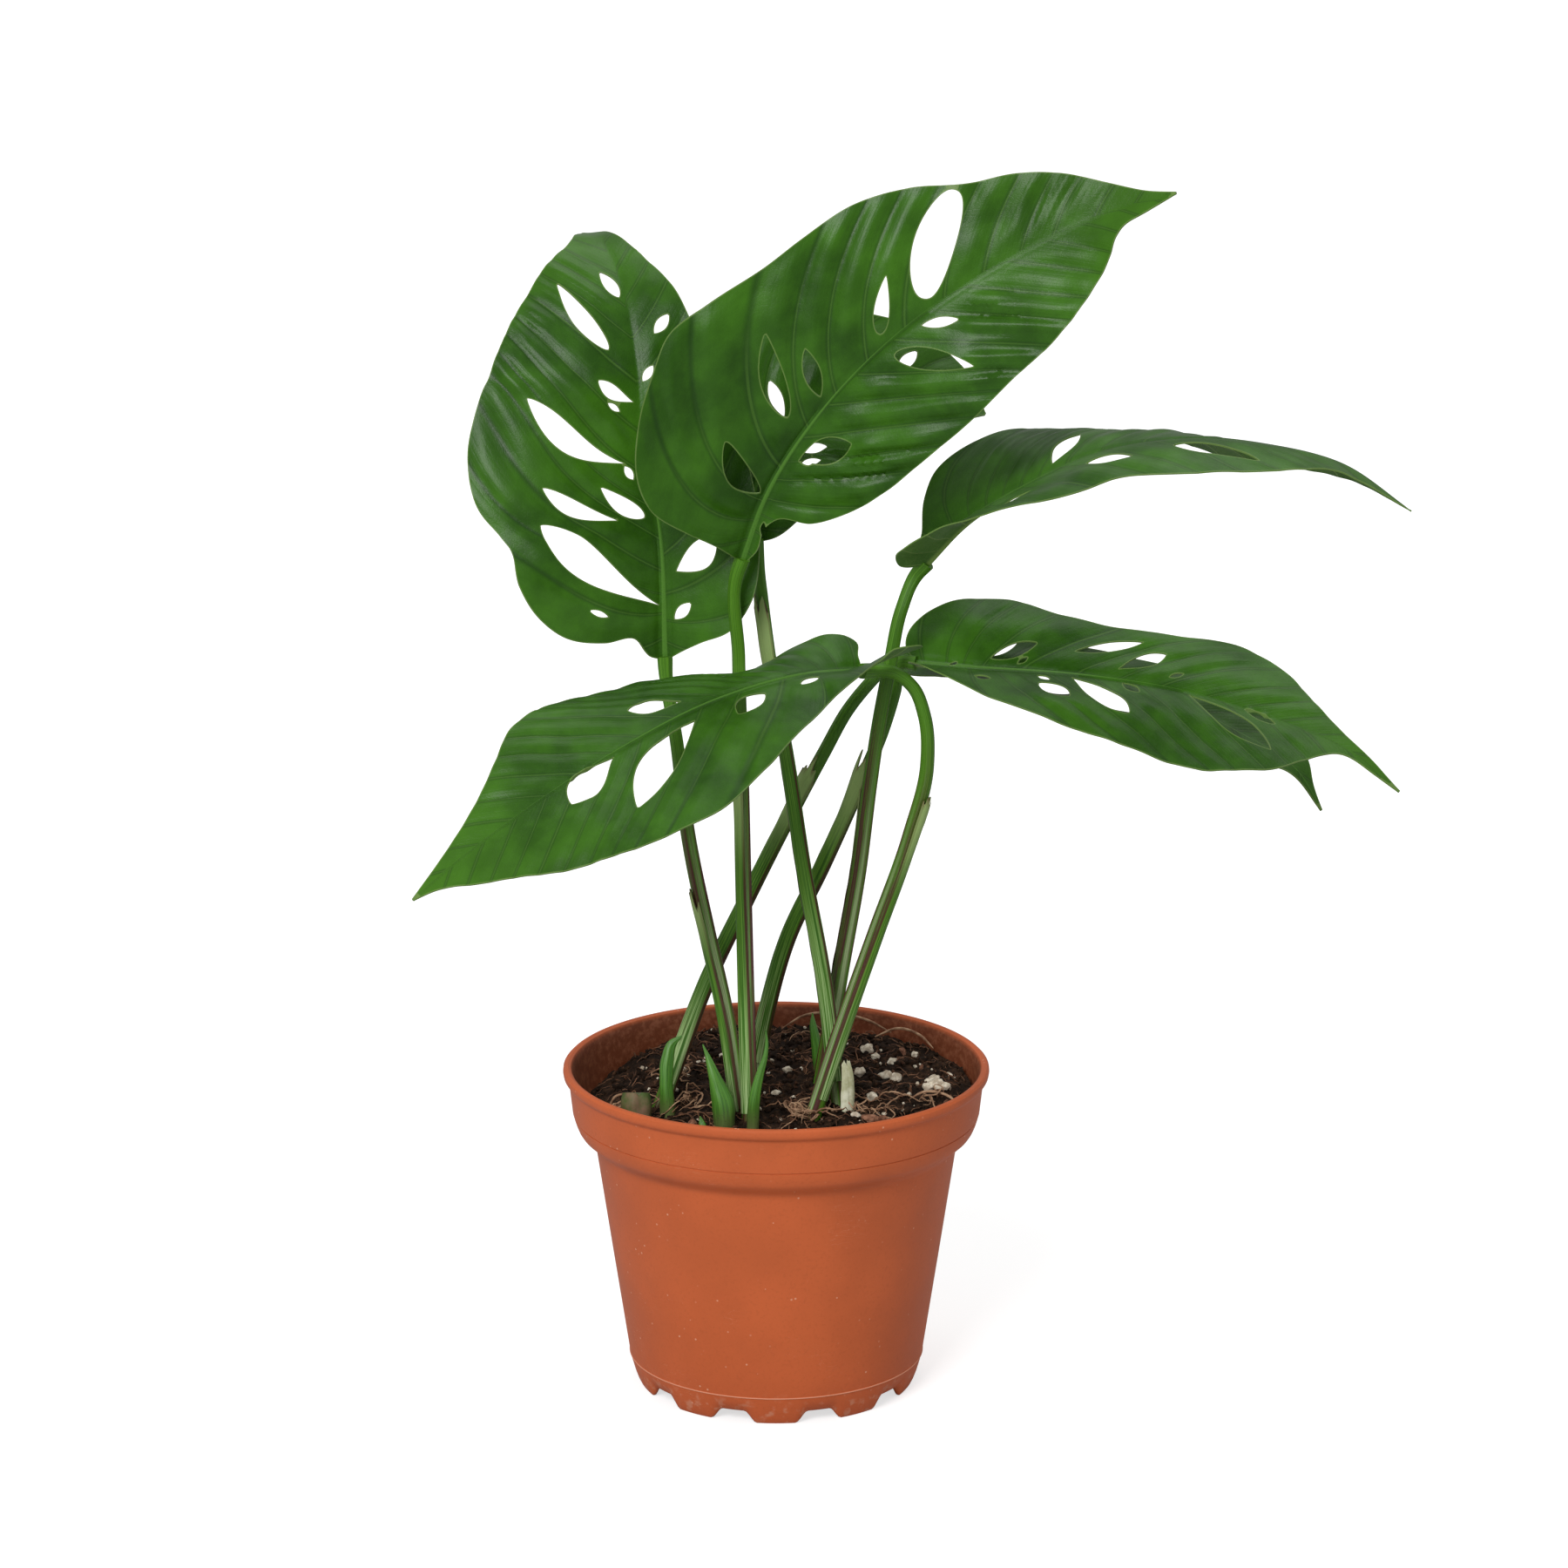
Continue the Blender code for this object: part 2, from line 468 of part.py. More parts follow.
def add_loop(curve, points, sharp=()):
    """A closed smooth loop in the curve's plane, with corners at the sharp points."""
    spline = curve.splines.new("BEZIER")
    spline.bezier_points.add(len(points) - 1)
    spline.use_cyclic_u = True
    for i, (knot, place) in enumerate(zip(spline.bezier_points, points)):
        kind = "VECTOR" if i in sharp else "AUTO"
        knot.handle_left_type = kind
        knot.handle_right_type = kind
        knot.co = (place[0] * MM, place[1] * MM, 0)


def hole_points(inner_u, inner_v, outer_u, outer_v, width):
    """The four knots of a lens-shaped hole: its two ends, and its sides where it is widest."""
    inner = Vector((inner_u, inner_v))
    outer = Vector((outer_u, outer_v))
    across = (outer - inner).orthogonal().normalized() * width / 2
    middle = inner.lerp(outer, HOLE_WIDEST_AT)
    return [inner, middle + across, outer, middle - across]


def make_blade(leaf, surface, collection, finish):
    """A slab of even cells, cut to the outline with its holes, then laid on the curved sheet."""
    name = "blade_" + leaf.name
    tip = surface.length / MM
    ends = (JOINT_HALF_WIDTH / MM, TIP_HALF_WIDTH / MM)
    outline = [(0.5, ends[0])] + list(leaf.right) + [(tip, ends[1]), (tip, -ends[1])]
    outline += [(u, -v) for u, v in leaf.left[::-1]] + [(0.5, -ends[0])]
    curve = bpy.data.curves.new(name, "CURVE")
    curve.dimensions = "2D"
    curve.fill_mode = "BOTH"
    curve.resolution_u = 3
    curve.extrude = BLADE_THICKNESS * 2
    add_loop(curve, outline, sharp=(0, len(leaf.right) + 1, len(leaf.right) + 2, len(outline) - 1))
    for hole in leaf.holes:
        add_loop(curve, hole_points(*hole))
    stamp = add_object(name + "_stamp", curve, collection)

    reach = max(v for u, v in leaf.left + leaf.right) * MM + BLADE_CELL
    cells = int(reach / BLADE_CELL) + 1
    columns = int(surface.length * SLAB_LENGTH_SHARE / BLADE_CELL)
    bm = bmesh.new()
    bmesh.ops.create_grid(bm, x_segments=columns, y_segments=cells * 2, size=0.5)
    grown = Matrix.Translation((surface.length / 2, 0, -BLADE_THICKNESS / 2))
    grown = grown @ Matrix.Diagonal((columns * BLADE_CELL, cells * 2 * BLADE_CELL, 1, 1))
    bmesh.ops.transform(bm, matrix=grown, verts=bm.verts)
    sheet = bmesh.ops.extrude_face_region(bm, geom=bm.faces[:])
    raised = [part for part in sheet["geom"] if isinstance(part, bmesh.types.BMVert)]
    bmesh.ops.translate(bm, verts=raised, vec=(0, 0, BLADE_THICKNESS))
    bmesh.ops.recalc_face_normals(bm, faces=bm.faces)
    slab = add_object(name, bmesh_to_mesh(bm, name), collection)

    tool = add_object(name + "_tool", as_mesh(stamp, name + "_tool"), collection)
    boolean(slab, tool, "INTERSECT")
    blade = add_object(name, as_mesh(slab, name, weld=1e-5), collection, finish)
    bpy.data.objects.remove(tool)
    flat = np.array([vertex.co for vertex in blade.data.vertices])
    bent = surface.place(flat[:, 0], flat[:, 1], flat[:, 2])
    blade.data.vertices.foreach_set("co", bent.ravel())
    bm = bmesh.new()
    bm.from_mesh(blade.data)
    bmesh.ops.triangulate(bm, faces=bm.faces)
    bmesh.ops.recalc_face_normals(bm, faces=bm.faces)
    bm.to_mesh(blade.data)
    bm.free()
    blade.name = name


def make_crumb(name, collection, cutters, soil, finish):
    """A grain or a chip sunk by half in the soil, with the pocket that it sits in."""
    (x, y), half = CRUMBS[name]
    centre = Vector((x * soil_radius(), y * soil_radius(), 0))
    centre.z = soil_height(centre.x, centre.y) + half[2] * MM * CRUMB_SHOWING
    turn = Matrix.Rotation(noise.noise(centre * 100) * pi, 4, "Z")
    place = Matrix.Translation(centre) @ turn
    bm = bmesh.new()
    bmesh.ops.create_icosphere(bm, subdivisions=1, radius=1)
    for vertex in bm.verts:
        vertex.co *= 1 - CRUMB_DENT * abs(noise.noise(vertex.co * 3 + centre * 200))
    grow = Matrix.Diagonal([size * MM for size in half] + [1])
    bmesh.ops.transform(bm, matrix=place @ grow, verts=bm.verts)
    add_object(name, bmesh_to_mesh(bm, name), collection, finish)

    bm = bmesh.new()
    bmesh.ops.create_icosphere(bm, subdivisions=1, radius=1)
    grow = Matrix.Diagonal([(size * MM + GAP * 1.6) * CRUMB_POCKET_SLACK for size in half] + [1])
    bmesh.ops.transform(bm, matrix=place @ grow, verts=bm.verts)
    boolean(soil, add_object(name + "_cutter", bmesh_to_mesh(bm, name), cutters), "DIFFERENCE")


def shift_to_origin(collection):
    """The shift that puts the origin in the middle of the underside of the whole plant's box."""
    bpy.context.view_layer.update()
    graph = bpy.context.evaluated_depsgraph_get()
    corners = []
    for made in collection.objects:
        mesh = made.evaluated_get(graph).to_mesh()
        corners += [made.matrix_world @ vertex.co for vertex in mesh.vertices]
        made.evaluated_get(graph).to_mesh_clear()
    low = Vector([min(corner[axis] for corner in corners) for axis in range(3)])
    high = Vector([max(corner[axis] for corner in corners) for axis in range(3)])
    return Vector((-(low.x + high.x) / 2, -(low.y + high.y) / 2, -low.z))


def main():
    for old in list(bpy.data.objects):
        bpy.data.objects.remove(old)
    collection = bpy.data.collections.new(NAME)
    cutters = bpy.data.collections.new("cutters")
    bpy.context.scene.collection.children.link(collection)
    bpy.context.scene.collection.children.link(cutters)

    terracotta = material("pot_plastic", (0.5, 0.11, 0.035), 0.5)
    peat = material("soil", (0.03, 0.016, 0.01), 0.95)
    leaf_green = material("leaf", (0.03, 0.13, 0.015), 0.4)
    stalk_green = material("petiole", (0.12, 0.25, 0.04), 0.45)
    shoot_green = material("shoot", (0.16, 0.42, 0.05), 0.4)
    cut_stem = material("cut_stem", (0.1, 0.16, 0.04), 0.6)
    dry_sheath = material("dry_sheath", (0.62, 0.6, 0.42), 0.8)
    white = material("perlite", (0.75, 0.68, 0.55), 0.9)
    brown = material("bark", (0.18, 0.08, 0.04), 0.9)

    make_pot(collection, cutters, terracotta)
    soil = make_soil(collection, peat)
    for leaf in LEAVES:
        surface = BladeSurface(leaf)
        make_blade(leaf, surface, collection, leaf_green)
        make_stalk(leaf, surface, collection, cutters, soil, stalk_green)
    for name in SHOOTS:
        finish = {"cut_stem_stub": cut_stem, "torn_sheath": dry_sheath}.get(name, shoot_green)
        make_shoot(name, collection, cutters, soil, finish)
    for name in CRUMBS:
        make_crumb(name, collection, cutters, soil, white if name.startswith("perlite") else brown)

    shift = shift_to_origin(collection)
    carrier = bpy.data.objects.new("carrier", None)
    bpy.context.scene.collection.objects.link(carrier)
    carrier.location = shift
    for made in list(collection.objects) + list(cutters.objects):
        made.parent = carrier
    for tool in cutters.objects:
        tool.hide_render = True
        tool.display_type = "WIRE"


main()
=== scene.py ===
"""Potted monstera: holed leaves with sunken veins, channelled stalks in torn sheaths, damp peat with
roots, grit and young shoots, and a scuffed nursery pot with scalloped feet.

Lengths in the tables are millimetres. The plant's heights are measured from the pot's rim and its
places from the pot's axis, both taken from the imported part.
"""
import json
from collections import namedtuple
from math import cos, log, pi, radians, sin

import bmesh
import bpy
import numpy as np
from mathutils import Matrix, Vector, geometry, noise

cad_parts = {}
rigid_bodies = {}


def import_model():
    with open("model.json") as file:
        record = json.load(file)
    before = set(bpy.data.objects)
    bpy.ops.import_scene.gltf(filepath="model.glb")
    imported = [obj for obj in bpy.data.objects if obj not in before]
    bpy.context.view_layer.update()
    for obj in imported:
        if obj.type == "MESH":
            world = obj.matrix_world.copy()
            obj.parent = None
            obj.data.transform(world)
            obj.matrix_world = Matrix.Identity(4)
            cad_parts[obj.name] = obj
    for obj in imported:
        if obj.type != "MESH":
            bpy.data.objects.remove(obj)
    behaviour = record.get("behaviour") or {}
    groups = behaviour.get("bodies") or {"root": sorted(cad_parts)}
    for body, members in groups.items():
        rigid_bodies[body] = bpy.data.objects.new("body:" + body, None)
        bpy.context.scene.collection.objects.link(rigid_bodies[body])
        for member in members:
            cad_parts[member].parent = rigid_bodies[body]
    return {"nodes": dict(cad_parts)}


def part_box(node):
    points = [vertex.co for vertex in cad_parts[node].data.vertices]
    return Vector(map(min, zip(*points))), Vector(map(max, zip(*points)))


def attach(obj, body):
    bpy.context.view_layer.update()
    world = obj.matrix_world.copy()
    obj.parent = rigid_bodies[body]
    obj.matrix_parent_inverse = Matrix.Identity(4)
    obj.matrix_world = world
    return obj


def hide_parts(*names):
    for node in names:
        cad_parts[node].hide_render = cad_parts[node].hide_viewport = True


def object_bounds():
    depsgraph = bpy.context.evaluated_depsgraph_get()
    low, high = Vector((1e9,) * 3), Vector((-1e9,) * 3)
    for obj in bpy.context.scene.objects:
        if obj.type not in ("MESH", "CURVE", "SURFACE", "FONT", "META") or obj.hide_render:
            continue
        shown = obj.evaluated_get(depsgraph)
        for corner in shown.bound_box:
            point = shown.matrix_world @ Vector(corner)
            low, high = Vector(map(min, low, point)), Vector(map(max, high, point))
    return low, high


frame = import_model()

bl_info = {
    "name": "Potted monstera",
    "version": (1, 0, 0),
    "blender": (4, 5, 0),
    "location": "3D View > Sidebar > Monstera",
    "description": "Builds a potted monstera, piece by piece, around its packed part",
    "category": "Add Mesh",
}

MM = 0.001
CAD_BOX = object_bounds()
POT_LOW, POT_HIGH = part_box("pot")
AXIS = Vector(((POT_LOW.x + POT_HIGH.x) / 2, (POT_LOW.y + POT_HIGH.y) / 2, POT_HIGH.z))

STATIONS = (0, 0.12, 0.4, 0.7, 1)   # shares of a blade's length where fold and curl are given
CURL_SPAN = 50                      # a curl is the angle turned over this width
JOINT_HALF_WIDTH = 1.6
TIP_HALF_WIDTH = 0.4

# A blade lies flat as (along the midrib, across it) from its joint, with its left side at negative
# values, seen from above with the tip ahead. A fold lifts a side at the midrib and a curl lifts it
# further on, in degrees. A hole is its inner end, its outer end and its width, and may go on with where
# it is widest, how far it bows to one side and how blunt its ends are.
Leaf = namedtuple("Leaf", "name midrib facing left right fold_left fold_right curl_left curl_right holes")

LEAVES = (
    Leaf("back_left",
         midrib=((-39, 8, 146), (-41, 10, 195), (-47, 14, 225), (-49, 20, 249), (-54, 34, 274),
                 (-62, 56, 287), (-69, 82, 285)),
         facing=((0.1, -1, 0.15), (0.1, -1, 0.15), (0.15, -1, 0.25), (0.15, -0.9, 0.5),
                 (0.1, -0.55, 0.9)),
         left=((2, 6), (9, 12), (9, 24), (14, 42), (22, 50), (32, 54), (46, 54), (58, 57), (70, 62),
               (79, 62), (90, 58), (103, 53), (116, 47), (129, 40), (145, 28), (160, 12), (176, 5)),
         right=((3, 6), (7, 14), (12, 25), (22, 32), (40, 35), (60, 35), (84, 33), (100, 28), (116, 22),
                (129, 18), (145, 11), (162, 6), (178, 3)),
         fold_left=(28, 22, 12, 8, 5), fold_right=(28, 22, 14, 10, 5),
         curl_left=(10, 0, -20, -26, -30), curl_right=(10, 0, -12, -22, -30),
         holes=((20, -2, 58, -42, 13, 0.66, -5), (53, -15, 70, -38, 6, 0.6, -2),
                (52, -5, 66, -18, 6, 0.4, -1), (72, -8, 95, -39, 8, 0.62, -3),
                (92, -2, 100, -14, 5, 0.6, -1), (111, -9, 140, -22, 6.5, 0.4, -2),
                (130, -2, 142, -6, 5, 0.45), (115, 8, 121, 14, 4), (32, 5, 43, 20, 9, 0.55, 1),
                (15, 4, 21, 10, 4))),
    Leaf("centre",
         midrib=((-12, -8, 185), (-4, -12, 208), (16, -20, 241), (43, -27, 270), (84, -30, 298),
                 (108, -34, 310), (134, -46, 320)),
         facing=((0.25, -1, 0.25), (0.25, -1, 0.25), (0.2, -1, 0.35), (0.1, -0.95, 0.4), (0.1, -0.85, 0.6)),
         left=((6, 14), (10, 27), (16, 43), (24, 51), (34, 55), (48, 58), (58, 60), (70, 55), (87, 48),
               (100, 46), (116, 44), (132, 38), (148, 29), (164, 24), (176, 18), (188, 10), (200, 4)),
         right=((6, 4), (15, 4), (20, 7), (25, 18), (36, 27), (54, 34), (80, 38), (104, 39), (129, 36),
                (152, 32), (171, 24), (184, 15), (190, 8), (202, 4)),
         fold_left=(32, 24, 15, 10, 14), fold_right=(32, 24, 15, 10, 14),
         curl_left=(-10, -12, -15, -15, -20), curl_right=(-30, -25, -20, -15, -20),
         holes=((117, -4, 144, -29, 13.5, 0.5, -1, 0.4), (98, -4, 112, -18, 5, 0.35),
                (56, -9, 74, -33, 8, 0.42, -1), (68, -4, 78, -19, 5.5), (27, -3, 40, -24, 8, 0.5, -2, 0.7),
                (97, 5, 118, 25, 7.5, 0.38), (44, 4, 62, 15, 9, 0.55), (111, 3, 123, 9, 3.5))),
    Leaf("front_left",
         midrib=((31, -8, 146), (11, -24, 149), (-21, -46, 145), (-52, -68, 134), (-82, -88, 119),
                 (-109, -104, 102), (-121, -112, 93)),
         facing=((0.1, -0.5, 0.9), (0, -0.5, 0.9), (-0.05, -0.55, 0.85), (-0.1, -0.6, 0.8),
                 (-0.2, -0.65, 0.75)),
         left=((-1, 7), (-8, 13), (-13, 18), (-5, 19), (4, 16), (16, 18), (28, 21), (45, 29), (62, 37),
               (80, 44), (102, 47), (120, 44), (141, 36), (152, 30), (164, 21), (177, 13), (190, 3)),
         right=((0, 6), (-3, 12), (4, 19), (18, 22), (36, 24), (56, 26), (78, 29), (100, 32), (118, 32),
                (130, 29), (143, 21), (162, 11), (178, 5)),
         fold_left=(60, 22, 12, 8, 5), fold_right=(20, 0, 0, 12, 5),
         curl_left=(20, -5, -10, -15, -20), curl_right=(-60, -105, -45, -20, -20),
         holes=((75, 6, 92, 13, 6.5, 0.6), (110, -2, 134, -10, 12, 0.62, 1), (78, -6, 119, -27, 13, 0.55, 2),
                (48, -6, 64, -13, 8, 0.5, 1), (25, -5, 34, -7.5, 4))),
    Leaf("upper_right",
         midrib=((52, 8, 180), (66, 4, 196), (87, -2, 211), (112, -8, 224), (141, -14, 230),
                 (167, -18, 229), (194, -22, 223), (218, -26, 207)),
         facing=((-0.2, -0.45, 0.85), (-0.25, -0.4, 0.87), (-0.2, -0.3, 0.93), (0, -0.25, 0.95),
                 (0.15, -0.2, 0.95)),
         left=((1, 4), (8, 11), (14, 20), (20, 29), (30, 37), (44, 41), (60, 40), (78, 37), (98, 34),
               (120, 30), (142, 24), (162, 16), (178, 8)),
         right=((-2, 5), (-3, 12), (2, 19), (12, 22), (28, 24), (42, 28), (57, 31), (69, 31), (79, 28),
                (90, 26), (104, 27), (121, 25), (137, 22), (150, 17), (160, 12), (176, 5)),
         fold_left=(30, 22, 0, -28, -35), fold_right=(70, 45, 14, 10, 5),
         curl_left=(-30, -30, -50, -60, -50), curl_right=(10, -10, -30, -30, -30),
         holes=((59, -4, 68, -20, 8.5, 0.55), (73, 9, 90, 12, 8), (45, 22, 52.5, 14, 5),
                (104, 7, 134, 15, 8, 0.4))),
    Leaf("lower_right",
         midrib=((48, 16, 143), (70, 9, 143), (106, -2, 143), (147, -14, 139), (171, -22, 133),
                 (199, -32, 123), (215, -40, 111)),
         facing=((0, -0.45, 0.9), (0, -0.42, 0.9), (0, -0.4, 0.9), (0.05, -0.45, 0.9), (0.2, -0.5, 0.85)),
         left=((-3, 5), (-4, 14), (0, 22), (8, 29), (18, 33), (30, 34), (44, 30), (58, 27), (74, 26),
               (90, 27), (104, 30), (116, 29), (130, 23), (143, 13), (157, 5), (172, 2)),
         right=((1, 5), (2, 12), (6, 17), (14, 20), (24, 23), (43, 29), (64, 36), (82, 38), (106, 39),
                (119, 38), (131, 32), (140, 26), (149, 15), (159, 4), (172, 2)),
         fold_left=(22, 17, 12, 8, 5), fold_right=(35, 25, 12, 8, 5),
         curl_left=(-20, -20, -20, -20, -20), curl_right=(60, 10, -15, -20, -20),
         holes=((28, -4.5, 43, -13, 6.5), (57, -11, 79, -20, 5), (74, -5, 88, -16, 6.5, 0.6),
                (49, 10, 62, 19, 8), (59, 3, 84, 22, 10, 0.6), (101, 2, 136, 17, 10, 0.6))),
    Leaf("behind_centre",
         midrib=((-7, 26, 184), (-8, 30, 200), (0, 36, 218), (17, 42, 232), (40, 46, 238), (60, 46, 234),
                 (74, 42, 227)),
         facing=((0.1, -1, 0.3), (0.1, -1, 0.3), (0.1, -0.9, 0.5), (0.15, -0.8, 0.65), (0.3, -0.7, 0.75)),
         left=((1, 6), (6, 14), (16, 21), (30, 27), (46, 31), (62, 32), (80, 27), (96, 20), (110, 10)),
         right=((1, 6), (6, 16), (16, 26), (32, 35), (56, 39), (80, 37), (100, 28), (113, 13)),
         fold_left=(25, 20, 14, 10, 8), fold_right=(25, 20, 14, 10, 8),
         curl_left=(-10, -12, -15, -20, -20), curl_right=(-10, -12, -15, -20, -20),
         holes=((46, -4, 50, -17, 4), (40, 9, 50, 15, 4), (88, -4, 93, -13, 4))),
    Leaf("under_right",
         midrib=((43, 36, 137), (68, 34, 139), (102, 30, 137), (136, 24, 129), (163, 16, 118), (184, 6, 106),
                 (192, -2, 94)),
         facing=((0, -0.4, 0.9), (0, -0.4, 0.9), (0, -0.4, 0.9), (0.05, -0.4, 0.9), (0.4, -0.5, 0.8)),
         left=((1, 5), (4, 9), (16, 13), (34, 12), (55, 12), (79, 13), (100, 17), (116, 19), (134, 16),
               (148, 9), (157, 3)),
         right=((2, 6), (7, 10), (16, 12), (36, 18), (63, 24), (91, 27), (119, 22), (137, 12), (150, 4)),
         fold_left=(15, 13, 10, 8, 5), fold_right=(15, 13, 10, 8, 5),
         curl_left=(-10, -12, -15, -20, -20), curl_right=(-10, -12, -15, -20, -20),
         holes=((23, 3, 36, 11, 7), (47, 4, 64, 15, 11, 0.55), (61, 2, 88, 17, 15, 0.55),
                (106, 4, 124, 15, 8), (29, -3, 42, -10, 6))),
)

# How strongly a blade is quilted, where that isn't 1.
QUILTING = {"back_left": 0.9, "centre": 1.25, "front_left": 0.75, "upper_right": 0.5, "lower_right": 0.5,
            "under_right": 0.5}

# Small holes in the same terms as a leaf's own.
FINE_HOLES = {
    "back_left": ((89, -7, 92, -11, 2), (66, -6, 71, -8, 3), (18, -22, 21, -29, 2), (99, 2, 104, 6, 3)),
    "centre": ((12, 4, 17, 3, 2), (44, 5, 48, 8, 3)),
    "lower_right": ((14, 0.5, 16, -2, 2), (38, -3, 41, -6, 2), (92, -5, 96, -8, 2), (26, 11, 32, 12, 3),
                    (47, 4, 52, 7, 3), (77, 2, 84, 7, 4), (121, 0.5, 133, 3, 4)),
    "behind_centre": ((35, 12, 43, 17, 3),),
}

# Stalk routes from the soil up to the blade, whose joint is added at the end.
STALKS = {
    "back_left": ((-13, -32, -7), (-18, -24, 27), (-24, -16, 53), (-31, -6, 86), (-35, 2, 118)),
    "centre": ((-9, -43, -7), (-10, -35, 25), (-11, -22, 63), (-12, -8, 108), (-13, -4, 150)),
    "front_left": ((13, -38, -7), (24, -30, 25), (35, -22, 55), (47, -14, 88), (53, -8, 112), (52, -5, 129),
                   (48, -4, 139), (40, -5, 145)),
    "upper_right": ((16, -4, -7), (23, -2, 36), (29, 0, 71), (33, 2, 103), (36, 3, 124), (40, 4, 146),
                    (44, 6, 165)),
    "lower_right": ((-8, 10, -7), (-3, 10, 18), (4, 10, 43), (17, 11, 71), (31, 12, 103), (38, 14, 120),
                    (42, 16, 133)),
    "behind_centre": ((22, -27, -7), (17, -17, 36), (10, -5, 73), (4, 6, 111), (-2, 16, 143), (-5, 22, 165)),
    "under_right": ((-40, -18, -8), (-25, -3, 30), (-10, 9, 59), (4, 18, 85), (17, 25, 108), (26, 30, 123),
                    (34, 34, 132)),
}


def from_rim(point):
    """A plant point, in millimetres about the pot's axis and above its rim, as a place in metres."""
    return AXIS + Vector(point) * MM


def smooth(stations, values, at):
    """A cubic through the values at their stations, read at every place in at."""
    stations = np.asarray(stations, float)
    values = np.asarray(values, float)
    slopes = np.gradient(values, stations, axis=0)
    at = np.clip(at, stations[0], stations[-1])
    i = np.clip(np.searchsorted(stations, at, side="right") - 1, 0, len(stations) - 2)
    width = stations[i + 1] - stations[i]
    t = (at - stations[i]) / width
    if values.ndim > 1:
        t = t[:, None]
        width = width[:, None]
    held = values[i] * (1 + 2 * t) * (1 - t) ** 2 + values[i + 1] * t * t * (3 - 2 * t)
    leaning = slopes[i] * t * (1 - t) ** 2 - slopes[i + 1] * t * t * (1 - t)
    return held + leaning * width


def step(low, high, x):
    """0 below low, 1 above high and a soft ramp between."""
    t = np.clip((np.asarray(x, float) - low) / (high - low), 0, 1)
    return t * t * (3 - 2 * t)


def run_along(points):
    """How far along a line of points each one is."""
    return np.concatenate(([0], np.cumsum(np.linalg.norm(np.diff(points, axis=0), axis=1))))


def even_curve(points, spacing=None, count=None):
    """Evenly spaced places along the smooth curve through the points, and its length."""
    points = np.asarray(points, float)
    chord = run_along(points)
    dense = smooth(chord, points, np.linspace(0, chord[-1], 600))
    run = run_along(dense)
    count = count or max(int(run[-1] / spacing), 2) + 1
    steps = np.linspace(0, run[-1], count)
    return np.stack([np.interp(steps, run, dense[:, axis]) for axis in range(points.shape[1])], 1), run[-1]


def rough(points, scale, seed):
    """Smooth noise from -1 to 1 at every point, with lumps about 1 / scale across."""
    wide = np.zeros((len(points), 3))
    wide[:, :np.shape(points)[1]] = points
    return np.array([noise.noise(Vector(point) * scale + Vector((seed * 7.3, seed * 3.1, seed * 5.7)))
                     for point in wide])


def inside_loop(points, loop):
    """Which points lie inside a closed loop on the flat."""
    x, y = points[:, 0][:, None], points[:, 1][:, None]
    x1, y1 = loop[:, 0], loop[:, 1]
    x2, y2 = np.roll(x1, -1), np.roll(y1, -1)
    spans = (y1 > y) != (y2 > y)
    rise = np.where(y2 == y1, 1e-9, y2 - y1)
    crosses = spans & (x < x1 + (y - y1) * (x2 - x1) / rise)
    return crosses.sum(1) % 2 == 1


def nearest_on(points, spots):
    """Each point's distance to the nearest of the spots."""
    found = np.full(len(points), 1e9)
    for start in range(0, len(spots), 200):
        gap = np.linalg.norm(points[:, None] - spots[None, start:start + 200], axis=2)
        found = np.minimum(found, gap.min(1))
    return found


def fill_flat(outline, holes, cell):
    """Triangles about cell across that fill an outline and leave its holes: points, corners, edge gaps."""
    loops = [outline] + holes
    border = np.concatenate(loops)
    low, high = outline.min(0), outline.max(0)
    across, up = np.meshgrid(np.arange(low[0], high[0], cell), np.arange(low[1], high[1], cell * 0.866))
    across = across + (np.arange(len(across)) % 2 * cell / 2)[:, None]
    inner = np.stack([across.ravel(), up.ravel()], 1)
    inner = inner[inside_loop(inner, outline)]
    inner = inner[nearest_on(inner, border) > cell * 0.6]
    for hole in holes:
        inner = inner[~inside_loop(inner, hole)]
    edges = []
    first = 0
    for loop in loops:
        edges += [(first + i, first + (i + 1) % len(loop)) for i in range(len(loop))]
        first += len(loop)
    flat = [Vector(point) for point in np.concatenate([border, inner])]
    made = geometry.delaunay_2d_cdt(flat, edges, [], 0, 1e-5)
    points = np.array([tuple(point) for point in made[0]])
    corners = np.array([face for face in made[2] if len(face) == 3])
    centres = points[corners].mean(1)
    kept = inside_loop(centres, outline)
    for hole in holes:
        kept &= ~inside_loop(centres, hole)
    corners = corners[kept]
    used = np.unique(corners)
    renumbered = np.full(len(points), -1)
    renumbered[used] = np.arange(len(used))
    return points[used], renumbered[corners], nearest_on(points[used], border)


def border_edges(corners):
    """The edges that only one triangle has."""
    sides = np.concatenate([corners[:, [0, 1]], corners[:, [1, 2]], corners[:, [2, 0]]])
    ordered = np.sort(sides, axis=1)
    found, index, count = np.unique(ordered, axis=0, return_index=True, return_counts=True)
    return sides[index[count == 1]]


def add_piece(name, points, faces, finishes, finish_of_face=None, smooth_angle=50):
    """A finished piece in place: its mesh, finishes, shading and body."""
    mesh = bpy.data.meshes.new(name)
    mesh.from_pydata([tuple(point) for point in points], [], [tuple(int(i) for i in face) for face in faces])
    piece = bpy.data.objects.new(name, mesh)
    bpy.context.scene.collection.objects.link(piece)
    if finish_of_face is not None:
        mesh.polygons.foreach_set("material_index", np.asarray(finish_of_face, np.int32))
    face_outwards(piece)
    return dress(piece, finishes, smooth_angle)


def face_outwards(piece):
    """Turns every face of a closed shell outwards."""
    bm = bmesh.new()
    bm.from_mesh(piece.data)
    bmesh.ops.recalc_face_normals(bm, faces=bm.faces)
    bm.to_mesh(piece.data)
    bm.free()


